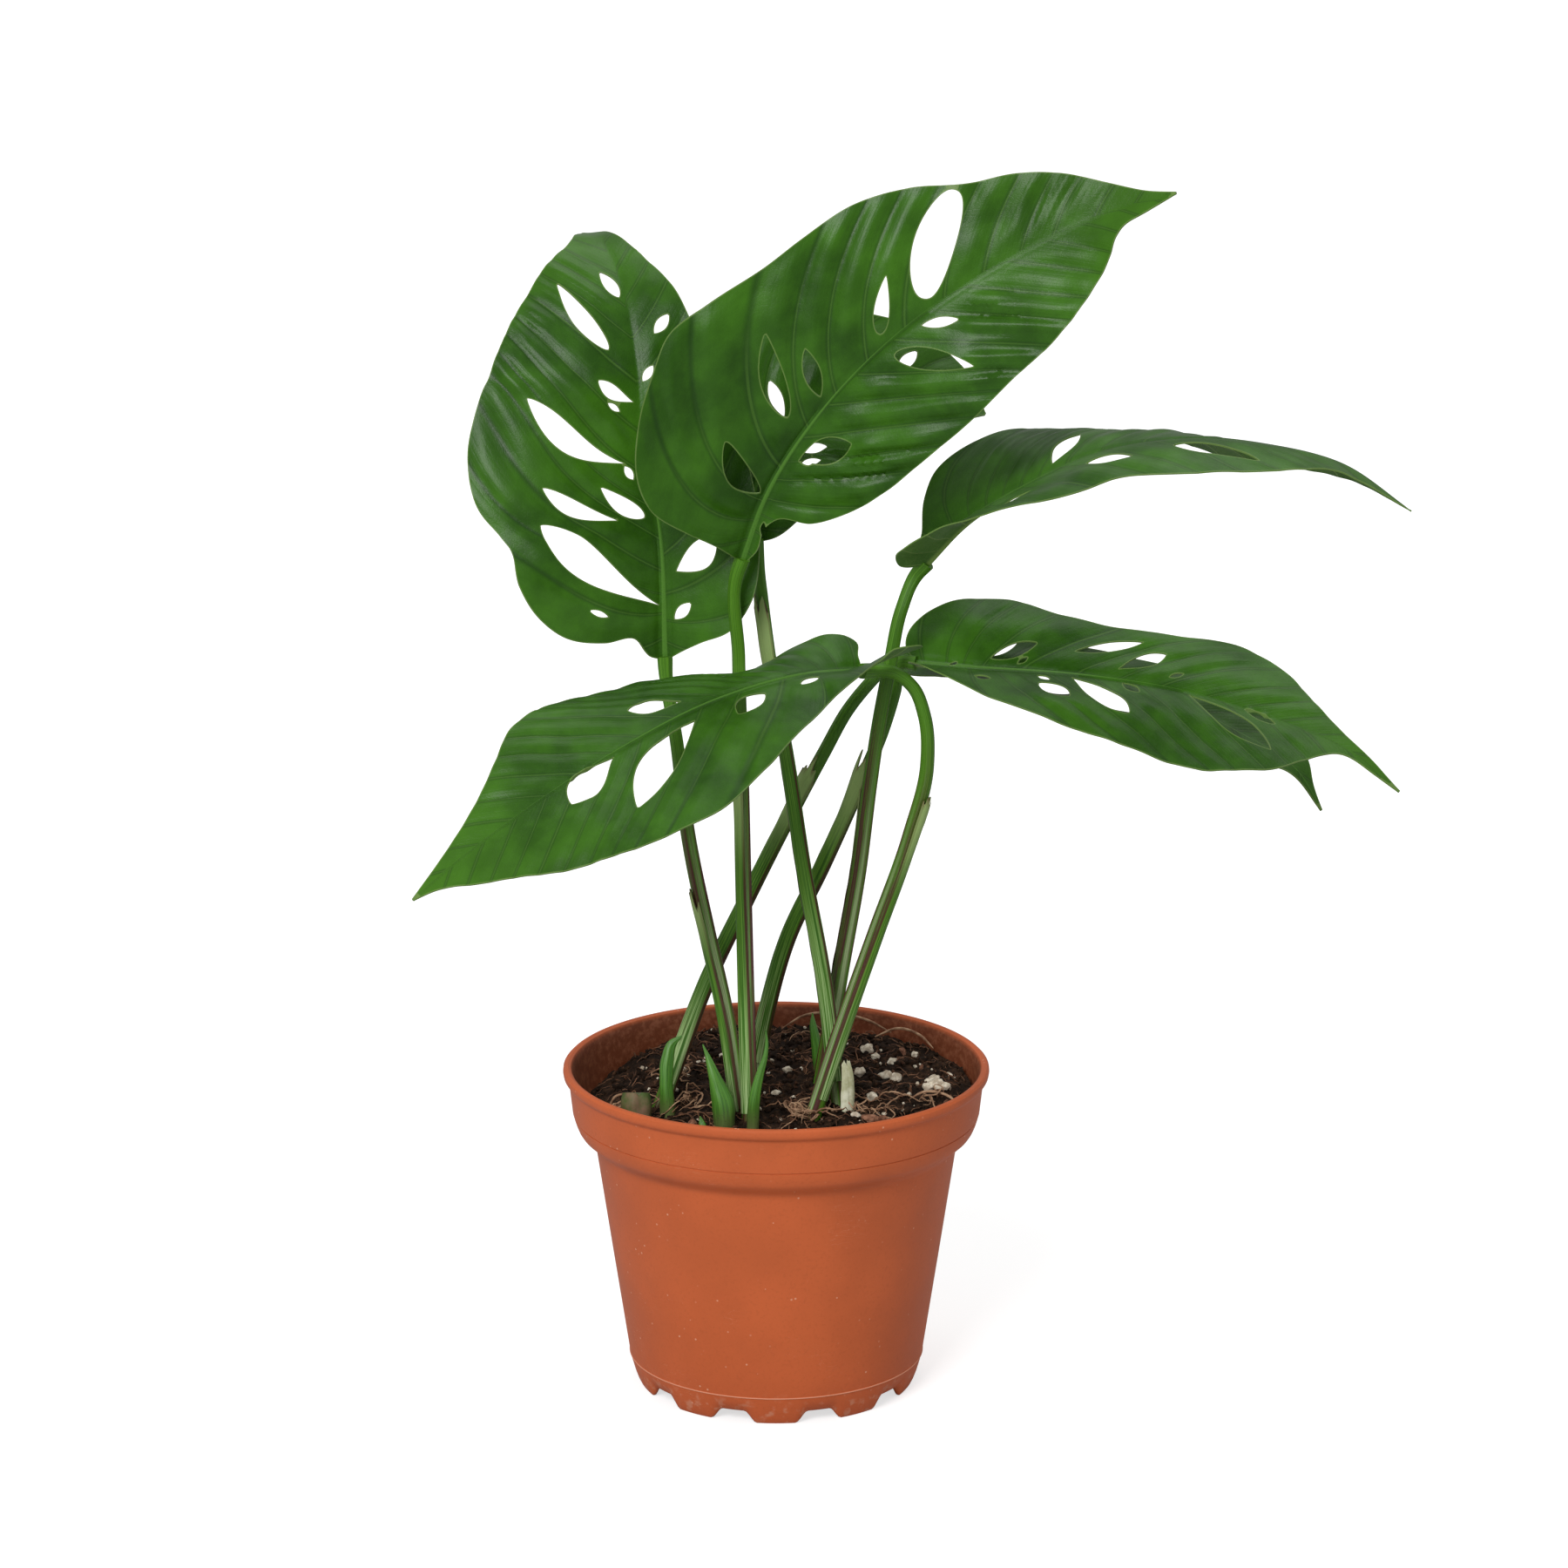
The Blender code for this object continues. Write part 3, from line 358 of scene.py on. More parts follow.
def dress(piece, finishes, smooth_angle=50):
    """Gives a piece its finishes and smooth shading, and ties it to the plant's only body."""
    for finish in finishes:
        piece.data.materials.append(finish)
    choose(piece)
    bpy.ops.object.shade_smooth_by_angle(angle=radians(smooth_angle))
    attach(piece, "root")
    return piece


def choose(*pieces):
    """Selects these pieces and nothing else, with the last one active."""
    for other in bpy.context.view_layer.objects:
        other.select_set(False)
    for piece in pieces:
        piece.select_set(True)
        bpy.context.view_layer.objects.active = piece


def noises(places):
    """Smooth noise at each of some places."""
    return np.array([noise.noise(Vector(place)) for place in places])


def write_attribute(piece, name, rows):
    """Stores a vector at every vertex, for the piece's finish to read."""
    made = piece.data.attributes.new(name, "FLOAT_VECTOR", "POINT")
    made.data.foreach_set("vector", np.asarray(rows, np.float32).ravel())


# ------------------------------------------------------------------------------------- finishes

class Value:
    """A socket in a material's node tree. Arithmetic on it adds Math nodes."""

    def __init__(self, finish, socket):
        self.finish = finish
        self.socket = socket

    def math(self, operation, *others):
        sockets = dict(enumerate((self,) + others))
        return self.finish.node("ShaderNodeMath", {"operation": operation}, sockets)

    def __add__(self, other):
        return self.math("ADD", other)

    def __mul__(self, other):
        return self.math("MULTIPLY", other)

    def __sub__(self, other):
        return self.math("SUBTRACT", other)

    def __rsub__(self, other):
        return self.finish.node("ShaderNodeMath", {"operation": "SUBTRACT"}, {0: other, 1: self})

    def __truediv__(self, other):
        return self.math("DIVIDE", other)

    __radd__ = __add__
    __rmul__ = __mul__

    def between(self, low, high):
        """0 below low, 1 above high and a soft ramp between."""
        return self.finish.node("ShaderNodeMapRange", {"interpolation_type": "SMOOTHSTEP"},
                                {"Value": self, "From Min": low, "From Max": high})

    def to_nearest_whole(self):
        """How far this is from the nearest whole number, 0 to 0.5."""
        return self.math("PINGPONG", 0.5)


class Finish:
    """A material under construction, whose nodes all come from node()."""

    def __init__(self, name, roughness=0.5, specular=0.5):
        self.material = bpy.data.materials.new(name)
        self.material.use_nodes = True
        self.tree = self.material.node_tree
        self.shader = self.tree.nodes["Principled BSDF"]
        self.shader.inputs["Roughness"].default_value = roughness
        self.shader.inputs["Specular IOR Level"].default_value = specular

    def feed(self, socket, value):
        """Links a value to a socket, or sets the socket to a plain number, colour or vector."""
        if isinstance(value, Value):
            self.tree.links.new(value.socket, socket)
        elif isinstance(value, tuple) and socket.type == "RGBA":
            socket.default_value = (*value, 1)
        else:
            socket.default_value = value

    def node(self, kind, settings=None, sockets=None, out=0):
        """A new node's output: the node gets its settings, then its sockets' values or links."""
        made = self.tree.nodes.new(kind)
        for key, value in (settings or {}).items():
            setattr(made, key, value)
        for key, value in (sockets or {}).items():
            self.feed(made.inputs[key], value)
        return Value(self, made.outputs[out])

    def place(self):
        """Where a point of the piece is, in metres."""
        return self.node("ShaderNodeTexCoord", out="Object")

    def stored(self, name):
        """The vector that write_attribute stored under this name."""
        return self.node("ShaderNodeAttribute", {"attribute_name": name}, out="Vector")

    def parts(self, vector):
        split = self.node("ShaderNodeSeparateXYZ", sockets={0: vector})
        return [Value(self, socket) for socket in split.socket.node.outputs]

    def scaled(self, vector, scale):
        return self.node("ShaderNodeVectorMath", {"operation": "MULTIPLY"}, {0: vector, 1: scale})

    def noise(self, vector, scale, detail=3.0, roughness=0.5):
        return self.node("ShaderNodeTexNoise", sockets={
            "Vector": vector, "Scale": scale, "Detail": detail, "Roughness": roughness})

    def cells(self, vector, scale, feature="F1"):
        return self.node("ShaderNodeTexVoronoi", {"feature": feature}, {"Vector": vector, "Scale": scale})

    def mix(self, first, second, share):
        """The first colour where share is 0 and the second where it is 1."""
        return self.node("ShaderNodeMix", {"data_type": "RGBA"}, {0: share, 6: first, 7: second}, out=2)

    def bump(self, height, distance, strength=1.0):
        return self.node("ShaderNodeBump", sockets={
            "Height": height, "Distance": distance, "Strength": strength})

    def finish(self, color, roughness=None, normal=None):
        """The finished material."""
        self.feed(self.shader.inputs["Base Color"], color)
        if roughness is not None:
            self.feed(self.shader.inputs["Roughness"], roughness)
        if normal is not None:
            self.feed(self.shader.inputs["Normal"], normal)
        return self.material


def leaf_upper_finish(settings):
    """Waxy deep green with paler sunken veins, painted shade in a dark band either side of them, a pale
    midrib and margin, and a fine cell texture.
    """
    leaf = Finish("leaf upper side", roughness=settings.roughness, specular=0.2)
    flat = leaf.stored("flat")
    lane, reach, margin = leaf.parts(leaf.stored("veins"))
    patches = leaf.noise(flat, 0.03, 2.0).between(0.35, 0.65)
    mottle = leaf.noise(flat, 0.11, 4.0, 0.6).between(0.35, 0.7)
    color = leaf.mix((0.016, 0.064, 0.002), tuple(settings.bright_green), patches * 0.55 + mottle * 0.3)
    young = leaf.parts(flat)[2]
    color = leaf.mix(color, (0.060, 0.18, 0.009), young)
    valley = lane.to_nearest_whole()
    # Painted shade: a dark band either side of each side vein, where its sunken groove would lie in shade.
    color = leaf.mix(color, (0.008, 0.034, 0.003), (1 - valley.between(0.0, 0.12)) * 0.6)
    side_vein = (1 - valley.between(0.012, 0.035)) * (1 - reach.between(22, 44)) * 0.45
    color = leaf.mix(color, (0.07, 0.17, 0.02), side_vein)
    rib_width = leaf.parts(leaf.stored("rib"))[0]
    rib = 1 - (reach / rib_width).between(0.55, 1.0)
    color = leaf.mix(color, tuple(settings.vein_color), rib * 0.85)
    edge = 1 - margin.between(0.15, 0.55)
    color = leaf.mix(color, (0.17, 0.26, 0.07), edge * 0.6)
    cell_lines = leaf.cells(flat, 0.75, "DISTANCE_TO_EDGE").between(0.0, 0.12)
    grain = leaf.noise(flat, 2.2, 3.0)
    threads = (lane * 6).to_nearest_whole().between(0.0, 0.3)
    height = grain * 0.3 + cell_lines * 0.25 + threads * 0.35 + leaf.noise(flat, 0.35, 2.0) * 1.2
    gloss = leaf.noise(flat, 0.12, 3.0) * 0.12 + (settings.roughness - 0.06)
    return leaf.finish(color, gloss, leaf.bump(height, 0.06 * MM, 0.8))


def leaf_under_finish(settings):
    """The paler, duller underside, with its veins standing out."""
    leaf = Finish("leaf underside", roughness=0.6, specular=0.35)
    flat = leaf.stored("flat")
    lane, reach = leaf.parts(leaf.stored("veins"))[:2]
    color = leaf.mix((0.05, 0.13, 0.02), (0.09, 0.19, 0.035), leaf.noise(flat, 0.05, 3.0).between(0.3, 0.7))
    valley = lane.to_nearest_whole()
    veins = 1 - valley.between(0.015, 0.04)
    net = 1 - leaf.cells(flat, 0.3, "DISTANCE_TO_EDGE").between(0.0, 0.05)
    color = leaf.mix(color, (0.17, 0.28, 0.07), veins * 0.8 + net * 0.25)
    rib_width = leaf.parts(leaf.stored("rib"))[0]
    color = leaf.mix(color, (0.19, 0.31, 0.07), 1 - (reach / rib_width).between(0.8, 1.6))
    height = veins * 1.0 + net * 0.4 + leaf.noise(flat, 1.5, 3.0) * 0.3
    return leaf.finish(color, None, leaf.bump(height, 0.2 * MM, 0.8))


def stalk_finish(settings):
    """Satin green, paler along the channel near the soil (partly its own pale colour, partly a painted
    highlight), with fine ribs and purple-brown streaks along the channel.
    """
    stalk = Finish("leaf stalk", roughness=0.45, specular=0.25)
    run = stalk.stored("run")
    around, share = stalk.parts(run)[1:]
    fine = stalk.noise(stalk.scaled(run, (0.012, 7.0, 0)), 1.0, 4.0)
    color = stalk.mix((0.034, 0.118, 0.004), (0.095, 0.255, 0.014), fine.between(0.3, 0.7))
    turn = around.math("ABSOLUTE")
    # Pale channel near the soil: partly the stalk's own paler colour, partly a painted highlight along the
    # front-facing groove.
    pale = (1 - share.between(0.25, 0.75)) * (1 - turn.between(0.35, 0.9)) * fine.between(0.3, 0.5)
    color = stalk.mix(color, (0.42, 0.55, 0.27), pale * 0.85)
    drift = stalk.noise(stalk.scaled(run, (0.03, 1.2, 0)), 1.0, 3.0)
    streak = stalk.noise(stalk.scaled(run, (0.008, 2.6, 0)), 1.0, 3.0).between(0.47, 0.56)
    wing = turn.between(0.8, 1.1) * (1 - turn.between(1.5, 2.2))
    brown = (streak * 0.6 + wing * 0.9) * (1 - share.between(0.5, 0.85)) * drift.between(0.25, 0.45)
    color = stalk.mix(color, tuple(settings.streak_color), brown * 0.9)
    height = stalk.noise(stalk.scaled(run, (0.02, 14.0, 0)), 1.0, 2.0)
    return stalk.finish(color, fine * 0.15 + 0.34, stalk.bump(height, 0.25 * MM, 0.6))


def sheath_finish():
    """The thin torn sheath around a stalk: pale ribbed green with dry brown edges."""
    sheath = Finish("stalk sheath", roughness=0.5, specular=0.2)
    run = sheath.stored("run")
    edge, share = sheath.parts(run)[1:]
    ribs = sheath.noise(sheath.scaled(run, (0.015, 9.0, 0)), 1.0, 4.0)
    color = sheath.mix((0.034, 0.12, 0.005), (0.14, 0.31, 0.030), ribs.between(0.35, 0.75))
    color = sheath.mix(color, (0.40, 0.52, 0.20), share.between(0.65, 0.95) * 0.65)
    pale = (1 - share.between(0.0, 0.45)) * ribs.between(0.42, 0.62) * 0.9
    color = sheath.mix(color, (0.42, 0.56, 0.26), pale)
    dry = edge.math("ABSOLUTE").between(0.68, 0.84) * ribs.between(0.2, 0.4)
    dry = dry * (1 - share.between(0.6, 0.85) * 0.6)
    tip = share.between(0.97, 1.0)
    color = sheath.mix(color, (0.062, 0.020, 0.010), dry * 0.95)
    color = sheath.mix(color, (0.16, 0.10, 0.05), tip * ribs.between(0.4, 0.6))
    return sheath.finish(color, None, sheath.bump(ribs, 0.3 * MM, 0.8))


def shoot_finish():
    """Fresh green with fine lengthwise lines, yellowing and flecked with soil at its foot."""
    shoot = Finish("young shoot", roughness=0.38, specular=0.5)
    run = shoot.stored("run")
    share = shoot.parts(run)[2]
    fine = shoot.noise(shoot.scaled(run, (0.05, 4.0, 0)), 1.0, 4.0)
    color = shoot.mix((0.030, 0.125, 0.008), (0.095, 0.27, 0.025), fine.between(0.3, 0.7))
    color = shoot.mix((0.20, 0.24, 0.09), color, share.between(0.05, 0.4))
    specks = shoot.cells(shoot.place(), 900.0).between(0.12, 0.2)
    color = shoot.mix((0.05, 0.03, 0.015), color, specks * 0.5 + share.between(0.2, 0.5) * 0.5)
    return shoot.finish(color, None, shoot.bump(fine, 0.3 * MM, 0.6))


MOUTH_RADIUS = 73.9                 # of the pot's outside, just under its lip
WALL_LEAN = 0.15                    # how much narrower the band gets as it goes down
MOULD_LINE_HEIGHT = 10.7            # of the line round the skirt, above the table


def pot_finish(settings):
    """Satin moulded plastic with a faint mottle, pale scuffs and specks, a painted highlight along the mould
    line, and an inner wall darkened partly by dust and partly by painted shade.
    """
    pot = Finish("pot plastic", roughness=settings.roughness, specular=0.25)
    place = pot.place()
    z = pot.parts(place)[2]
    mottle = pot.noise(place, 38.0, 4.0)
    tone = tuple(settings.color)
    color = pot.mix(tuple(part * 0.94 for part in tone), tuple(min(part * 1.06, 1) for part in tone),
                    mottle.between(0.3, 0.7))
    fine = pot.noise(place, 900.0, 2.0)
    color = pot.mix(color, tuple(part * 0.8 for part in tone), fine.between(0.5, 0.75) * 0.35)
    specks = (1 - pot.cells(place, 260.0).between(0.07, 0.12)) * pot.noise(place, 60.0).between(0.48, 0.62)
    color = pot.mix(color, (0.78, 0.45, 0.30), specks * 0.6)
    lines = pot.noise(pot.scaled(place, (1.0, 1.0, 5.0)), 170.0, 1.0)
    scratch = 1 - (lines - 0.5).math("ABSOLUTE").between(0.0, 0.008)
    scratch = scratch * pot.noise(place, 25.0).between(0.55, 0.7)
    color = pot.mix(color, (0.72, 0.36, 0.22), scratch * 0.45)
    feet = 1 - z.between(0.004, 0.014)
    color = pot.mix(color, (0.60, 0.30, 0.19), feet * pot.noise(place, 300.0, 4.0).between(0.52, 0.7) * 0.5)
    # Painted highlight: a pale line round the skirt at the mould line, standing in for light caught by its
    # ridge.
    mould_line_highlight = 1 - (z - MOULD_LINE_HEIGHT * MM).math("ABSOLUTE").between(0.1 * MM, 0.35 * MM)
    color = pot.mix(color, (0.80, 0.42, 0.28), mould_line_highlight * 0.6)
    across = pot.node("ShaderNodeVectorMath", {"operation": "SUBTRACT"}, {0: place, 1: tuple(AXIS)})
    flat = pot.scaled(across, (1.0, 1.0, 0.0))
    radius = pot.node("ShaderNodeVectorMath", {"operation": "LENGTH"}, {0: flat}, out="Value")
    wall = (z - POT_HIGH.z) * WALL_LEAN + (MOUTH_RADIUS - 0.3) * MM
    inner = (1 - (radius - wall).between(-0.2 * MM, 0.0)) * (1 - z.between(POT_HIGH.z - 2 * MM, POT_HIGH.z))
    inner = inner * z.between(POT_HIGH.z - 23.5 * MM, POT_HIGH.z - 22 * MM)
    # Inner wall above the soil: darkened partly by dust and partly as painted shade under the lip.
    dust = pot.noise(place, 420.0, 5.0, 0.7)
    dust_and_painted_shade = pot.mix((0.10, 0.030, 0.013), (0.24, 0.095, 0.05), dust.between(0.42, 0.66))
    color = pot.mix(color, dust_and_painted_shade, inner * 0.8)
    height = fine * 0.5 + specks * 0.6 + mottle * 0.4
    return pot.finish(color, mottle * 0.12 + (settings.roughness - 0.06), pot.bump(height, 0.04 * MM, 0.7))


def peat_finish(name="peat", dark=(0.012, 0.006, 0.003), light=(0.075, 0.036, 0.018)):
    """Damp crumbly peat with paler fibres in it."""
    peat = Finish(name, roughness=0.9, specular=0.15)
    place = peat.place()
    lumps = peat.noise(place, 240.0, 5.0, 0.7)
    color = peat.mix(dark, light, lumps.between(0.42, 0.78))
    threads = peat.noise(peat.scaled(place, (1.0, 3.5, 1.0)), 420.0, 2.0)
    color = peat.mix(color, (0.15, 0.065, 0.03), threads.between(0.66, 0.76) * 0.7)
    return peat.finish(color, None, peat.bump(lumps, 1.6 * MM, 1.0))


def plain_finish(name, dark, light, scale, roughness, depth):
    """A matt natural finish that wanders between two colours, with a matching bump."""
    made = Finish(name, roughness=roughness, specular=0.3)
    grain = made.noise(made.place(), scale, 4.0, 0.6)
    color = made.mix(dark, light, grain.between(0.35, 0.68))
    return made.finish(color, None, made.bump(grain, depth * MM, 0.8))


# ------------------------------------------------------------------------------------- leaves

FLAT_RIB = 3.0                      # a blade's thickness tilts with its fold only past this reach


class BladeSurface:
    """The curved sheet that a flat blade is laid on."""

    def __init__(self, leaf):
        self.leaf = leaf
        self.midrib, length = even_curve([from_rim(point) for point in leaf.midrib], count=200)
        self.length = length / MM
        self.marks = np.linspace(0, self.length, 200)
        self.heading = np.gradient(self.midrib, self.marks * MM, axis=0)

    def along(self, rows, u):
        """Rows given at the marks, read at every u."""
        return np.stack([np.interp(u, self.marks, rows[:, axis]) for axis in range(3)], 1)

    def place(self, u, v, lift):
        """Places of flat points: along, across and above the sheet, in millimetres."""
        share = np.clip(u / self.length, 0, 1)
        ahead = self.along(self.heading, u)
        ahead /= np.linalg.norm(ahead, axis=1, keepdims=True)
        facing = smooth(STATIONS, self.leaf.facing, share)
        up = facing - (facing * ahead).sum(1, keepdims=True) * ahead
        up /= np.linalg.norm(up, axis=1, keepdims=True)
        side = np.cross(ahead, up)
        right = v >= 0
        fold = np.radians(np.where(right, smooth(STATIONS, self.leaf.fold_right, share),
                                   smooth(STATIONS, self.leaf.fold_left, share)))
        curl = np.radians(np.where(right, smooth(STATIONS, self.leaf.curl_right, share),
                                   smooth(STATIONS, self.leaf.curl_left, share))) / CURL_SPAN
        curl = np.where(np.abs(curl) < 1e-5, 1e-5, curl)
        reach = np.abs(v)
        flat_rib = np.minimum(reach / FLAT_RIB, 1.0)
        turned = fold * flat_rib + curl * reach
        out = (np.sin(fold + curl * reach) - np.sin(fold)) / curl - lift * np.sin(turned)
        rise = (np.cos(fold) - np.cos(fold + curl * reach)) / curl + lift * np.cos(turned)
        past = u - np.clip(u, 0, self.length)
        base = self.along(self.midrib, u) + ahead * past[:, None] * MM
        return base + (side * (np.sign(v) * out)[:, None] + up * rise[:, None]) * MM


LEAN_STATIONS = (-0.2, 0, 0.15, 0.5, 0.8, 1.2)
LEANS = (-1.2, -0.6, 0.3, 0.65, 0.85, 1.0)
VEIN_BOW = 0.011                    # how strongly a side vein bends on towards the tip
CROWDING = 0.5                      # the share of the usual spacing that side veins keep at the base
UNEVEN = 0.22                       # how far a side vein may start from its even place, in spacings


class Veins:
    """The side veins of one half of a blade. Each leaves the midrib, leans towards the tip and bows on."""

    def __init__(self, holes, length, spacing, seed):
        self.length = length
        inner = np.array([min(abs(hole[1]), abs(hole[3])) for hole in holes] or [0.0])
        outer = np.array([max(abs(hole[1]), abs(hole[3])) for hole in holes] or [1.0])
        runs = np.array([hole[2] - hole[0] for hole in holes] or [0.9])
        mids = np.array([(hole[0] + hole[2]) / 2 for hole in holes] or [length / 2])
        plain = smooth(LEAN_STATIONS, LEANS, mids / length * 0.8)
        leans = (runs - VEIN_BOW * (outer ** 2 - inner ** 2)) / np.maximum(outer - inner, 3)
        self.gain = float(np.clip(np.median(leans / np.maximum(plain, 0.3)), 0.8, 1.7))
        marks = np.sort(self.start_of(mids, (inner + outer) / 2))
        lanes = [0.5]
        kept = [marks[0]]
        for mark in marks[1:]:
            gap = mark - kept[-1]
            if gap > spacing * 0.55:
                kept.append(mark)
                lanes.append(lanes[-1] + max(1, round(gap / spacing)))
        before = int(kept[0] / spacing / CROWDING) + 5
        after = int((length - kept[-1]) / spacing) + 4
        uneven = np.random.default_rng(seed).uniform(-UNEVEN, UNEVEN, before + after) * spacing
        self.marks = np.array([kept[0] - spacing * CROWDING * (before - i) + uneven[i] * CROWDING
                               for i in range(before)] + kept
                              + [kept[-1] + spacing * (i + 1) + uneven[before + i] for i in range(after)])
        self.lanes = np.array([0.5 - (before - i) for i in range(before)] + lanes
                              + [lanes[-1] + i + 1 for i in range(after)])

    def reach_from(self, start, across):
        """How far along the blade the vein from a start on the midrib has got at a distance across."""
        lean = smooth(LEAN_STATIONS, LEANS, start / self.length)
        lean = np.where(lean > 0, lean * self.gain, lean)
        return start + lean * across + VEIN_BOW * across ** 2

    def start_of(self, along, across):
        """Where on the midrib the vein through a flat point starts, by halving."""
        low = np.full(np.shape(along), -0.3 * self.length)
        high = np.full(np.shape(along), 1.2 * self.length)
        for turn in range(26):
            middle = (low + high) / 2
            short = self.reach_from(middle, across) < along
            low = np.where(short, middle, low)
            high = np.where(short, high, middle)
        return (low + high) / 2

    def lane(self, along, across):
        """Whole numbers on the veins, halves midway between them."""
        return np.interp(self.start_of(along, across), self.marks, self.lanes)


def hole_loop(along_1, across_1, along_2, across_2, width, widest=0.5, bow=0.0, blunt=0.8):
    """The rim of one hole, pointed at its inner end and rounder at its outer end."""
    inner = np.array((along_1, across_1), float)
    outer = np.array((along_2, across_2), float)
    axis = outer - inner
    length = np.linalg.norm(axis)
    across = np.array((-axis[1], axis[0])) / length
    t = (1 - np.cos(np.linspace(0, pi, 40))) / 2
    half = width / 2 * np.sin(pi * t ** (log(0.5) / log(widest))) ** blunt
    spine = inner + axis * t[:, None] + across * (bow * np.sin(pi * t))[:, None]
    left = spine + across * half[:, None]
    right = spine - across * half[:, None]
    loop = np.concatenate([left, right[-2:0:-1]])
    closed = np.concatenate([loop, loop[:1]])
    run = run_along(closed)
    steps = np.linspace(0, run[-1], max(int(run[-1] / 0.9), 10) + 1)[:-1]
    return np.stack([np.interp(steps, run, closed[:, axis]) for axis in range(2)], 1)


def blade_outline(leaf, length, cell):
    """The rim of a flat blade, from the joint up its right side and back down its left."""
    right = [(0.5, JOINT_HALF_WIDTH)] + list(leaf.right) + [(length, TIP_HALF_WIDTH)]
    left = [(0.5, JOINT_HALF_WIDTH)] + list(leaf.left) + [(length, TIP_HALF_WIDTH)]
    right = even_curve(right, cell)[0]
    left = even_curve(left, cell)[0] * (1, -1)
    return np.concatenate([right, left[::-1]])


def vein_lanes(leaf, length, flat, spacing, seed):
    """The lane that each flat point lies in, worked out for each half of the blade from its holes."""
    u, v = flat[:, 0], flat[:, 1]
    lane = np.zeros(len(flat))
    for side, holes in ((1, [hole for hole in leaf.holes if hole[1] > 0]),
                        (-1, [hole for hole in leaf.holes if hole[1] < 0])):
        veins = Veins(holes, length, spacing, seed + side)
        mine = v >= 0 if side > 0 else v < 0
        lane[mine] = veins.lane(u[mine], np.abs(v[mine]))
    return lane


def blade_relief(leaf, flat, lane, margin, share, quilt_depth, seed):
    """How far the blade stands off its sheet: puffed between its side veins, and gently uneven."""
    reach = np.abs(flat[:, 1])
    fade = step(1.5, 9, reach) * (1 - 0.6 * step(6, 0, margin)) * (1 - 0.5 * step(0.8, 1, share))
    puff = (np.sin(pi * lane) ** 2 + 0.09) ** 0.45 - 0.17
    wrinkle = rough(np.stack([lane * 1.1, reach / 30], 1), 1, seed + 5)
    fine_puff = np.sin(2 * pi * (lane * 2 + wrinkle)) * step(0.0, 0.5, rough(flat, 1 / 22, seed + 6))
    strength = 0.75 + 0.5 * rough(np.stack([np.floor(lane), reach / 25], 1), 1.7, seed + 7)
    flatter_ends = (1 - 0.45 * step(0.45, 0.9, share)) * (0.55 + 0.45 * step(0.0, 0.25, share))
    fade *= QUILTING.get(leaf.name, 1.0) * flatter_ends
    relief = quilt_depth * fade * ((puff - 0.5) * strength + 0.17 * fine_puff)
    relief += rough(flat, 1 / 28, seed) * 2.2 * step(4, 18, reach)
    relief += rough(flat, 1 / 12, seed + 1) * 0.5 * step(3, 12, reach)
    return relief


def make_blade(leaf, settings, finishes):
    """One leaf blade: cut flat with its holes, given its veins in relief, laid on its sheet and closed."""
    surface = BladeSurface(leaf)
    cell = settings.cell / MM
    outline = blade_outline(leaf, surface.length, cell)
    loops = [hole_loop(*hole) for hole in leaf.holes + FINE_HOLES.get(leaf.name, ())]
    flat, corners, margin = fill_flat(outline, loops, cell)
    u, v = flat[:, 0], flat[:, 1]
    reach = np.abs(v)
    share = np.clip(u / surface.length, 0, 1)
    seed = sum(map(ord, leaf.name)) % 97
    lane = vein_lanes(leaf, surface.length, flat, settings.vein_spacing / MM, seed)
    relief = blade_relief(leaf, flat, lane, margin, share, settings.quilt_depth / MM, seed)
    rib_half = 0.33 + 1.0 * (1 - share) ** 3
    groove = 0.5 * (1 - step(0.5, 1, share)) * np.exp(-((reach - rib_half * 1.7) / (rib_half * 0.9)) ** 2)
    crown = 0.45 * np.exp(-(reach / (rib_half * 0.75)) ** 2)
    keel = (0.5 + 1.3 * (1 - share)) * np.exp(-(reach / rib_half) ** 2)
    half = settings.thickness / MM / 2
    top = surface.place(u, v, relief + half + crown - groove)
    under = surface.place(u, v, relief - half - keel)
    count = len(flat)
    rim = border_edges(corners)
    faces = [tuple(face) for face in corners] + [tuple(face) for face in corners[:, ::-1] + count]
    faces += [(a, a + count, b + count, b) for a, b in rim]
    finish_of_face = [0] * len(corners) + [1] * len(corners) + [0] * len(rim)
    points = np.concatenate([top, under])
    piece = add_piece("leaf_" + leaf.name, points, faces, finishes, finish_of_face)
    young = np.clip(step(0.62, 1.0, share) * (0.35 + 0.3 * rough(flat, 1 / 30, seed + 2)), 0, 1)
    for name, columns in (("flat", [u, v + seed * 10, young]), ("veins", [lane, reach, margin]),
                          ("rib", [rib_half, share, share])):
        write_attribute(piece, name, np.tile(np.stack(columns, 1), (2, 1)))
    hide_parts("blade_" + leaf.name)
    return piece


# ------------------------------------------------------------------------------------- stalks

def carried_frames(path, facing):
    """A side and a front direction at every place on a path, turning no more than the path does."""
    heads = np.gradient(path, axis=0)
    heads /= np.linalg.norm(heads, axis=1, keepdims=True)
    front = np.array(facing, float)
    fronts = []
    for head in heads:
        front = front - front.dot(head) * head
        front /= np.linalg.norm(front)
        fronts.append(front)
    fronts = np.array(fronts)
    return np.cross(heads, fronts), fronts, heads


def write_run(piece, share, length, offset, around):
    """Stores how far along a swept piece each point is, how far around it, and its share of the length."""
    rings, sides = len(share), len(around)
    write_attribute(piece, "run", np.stack([np.repeat(share * length / MM, sides) + offset,
                                            np.tile(around, rings), np.repeat(share, sides)], 1))


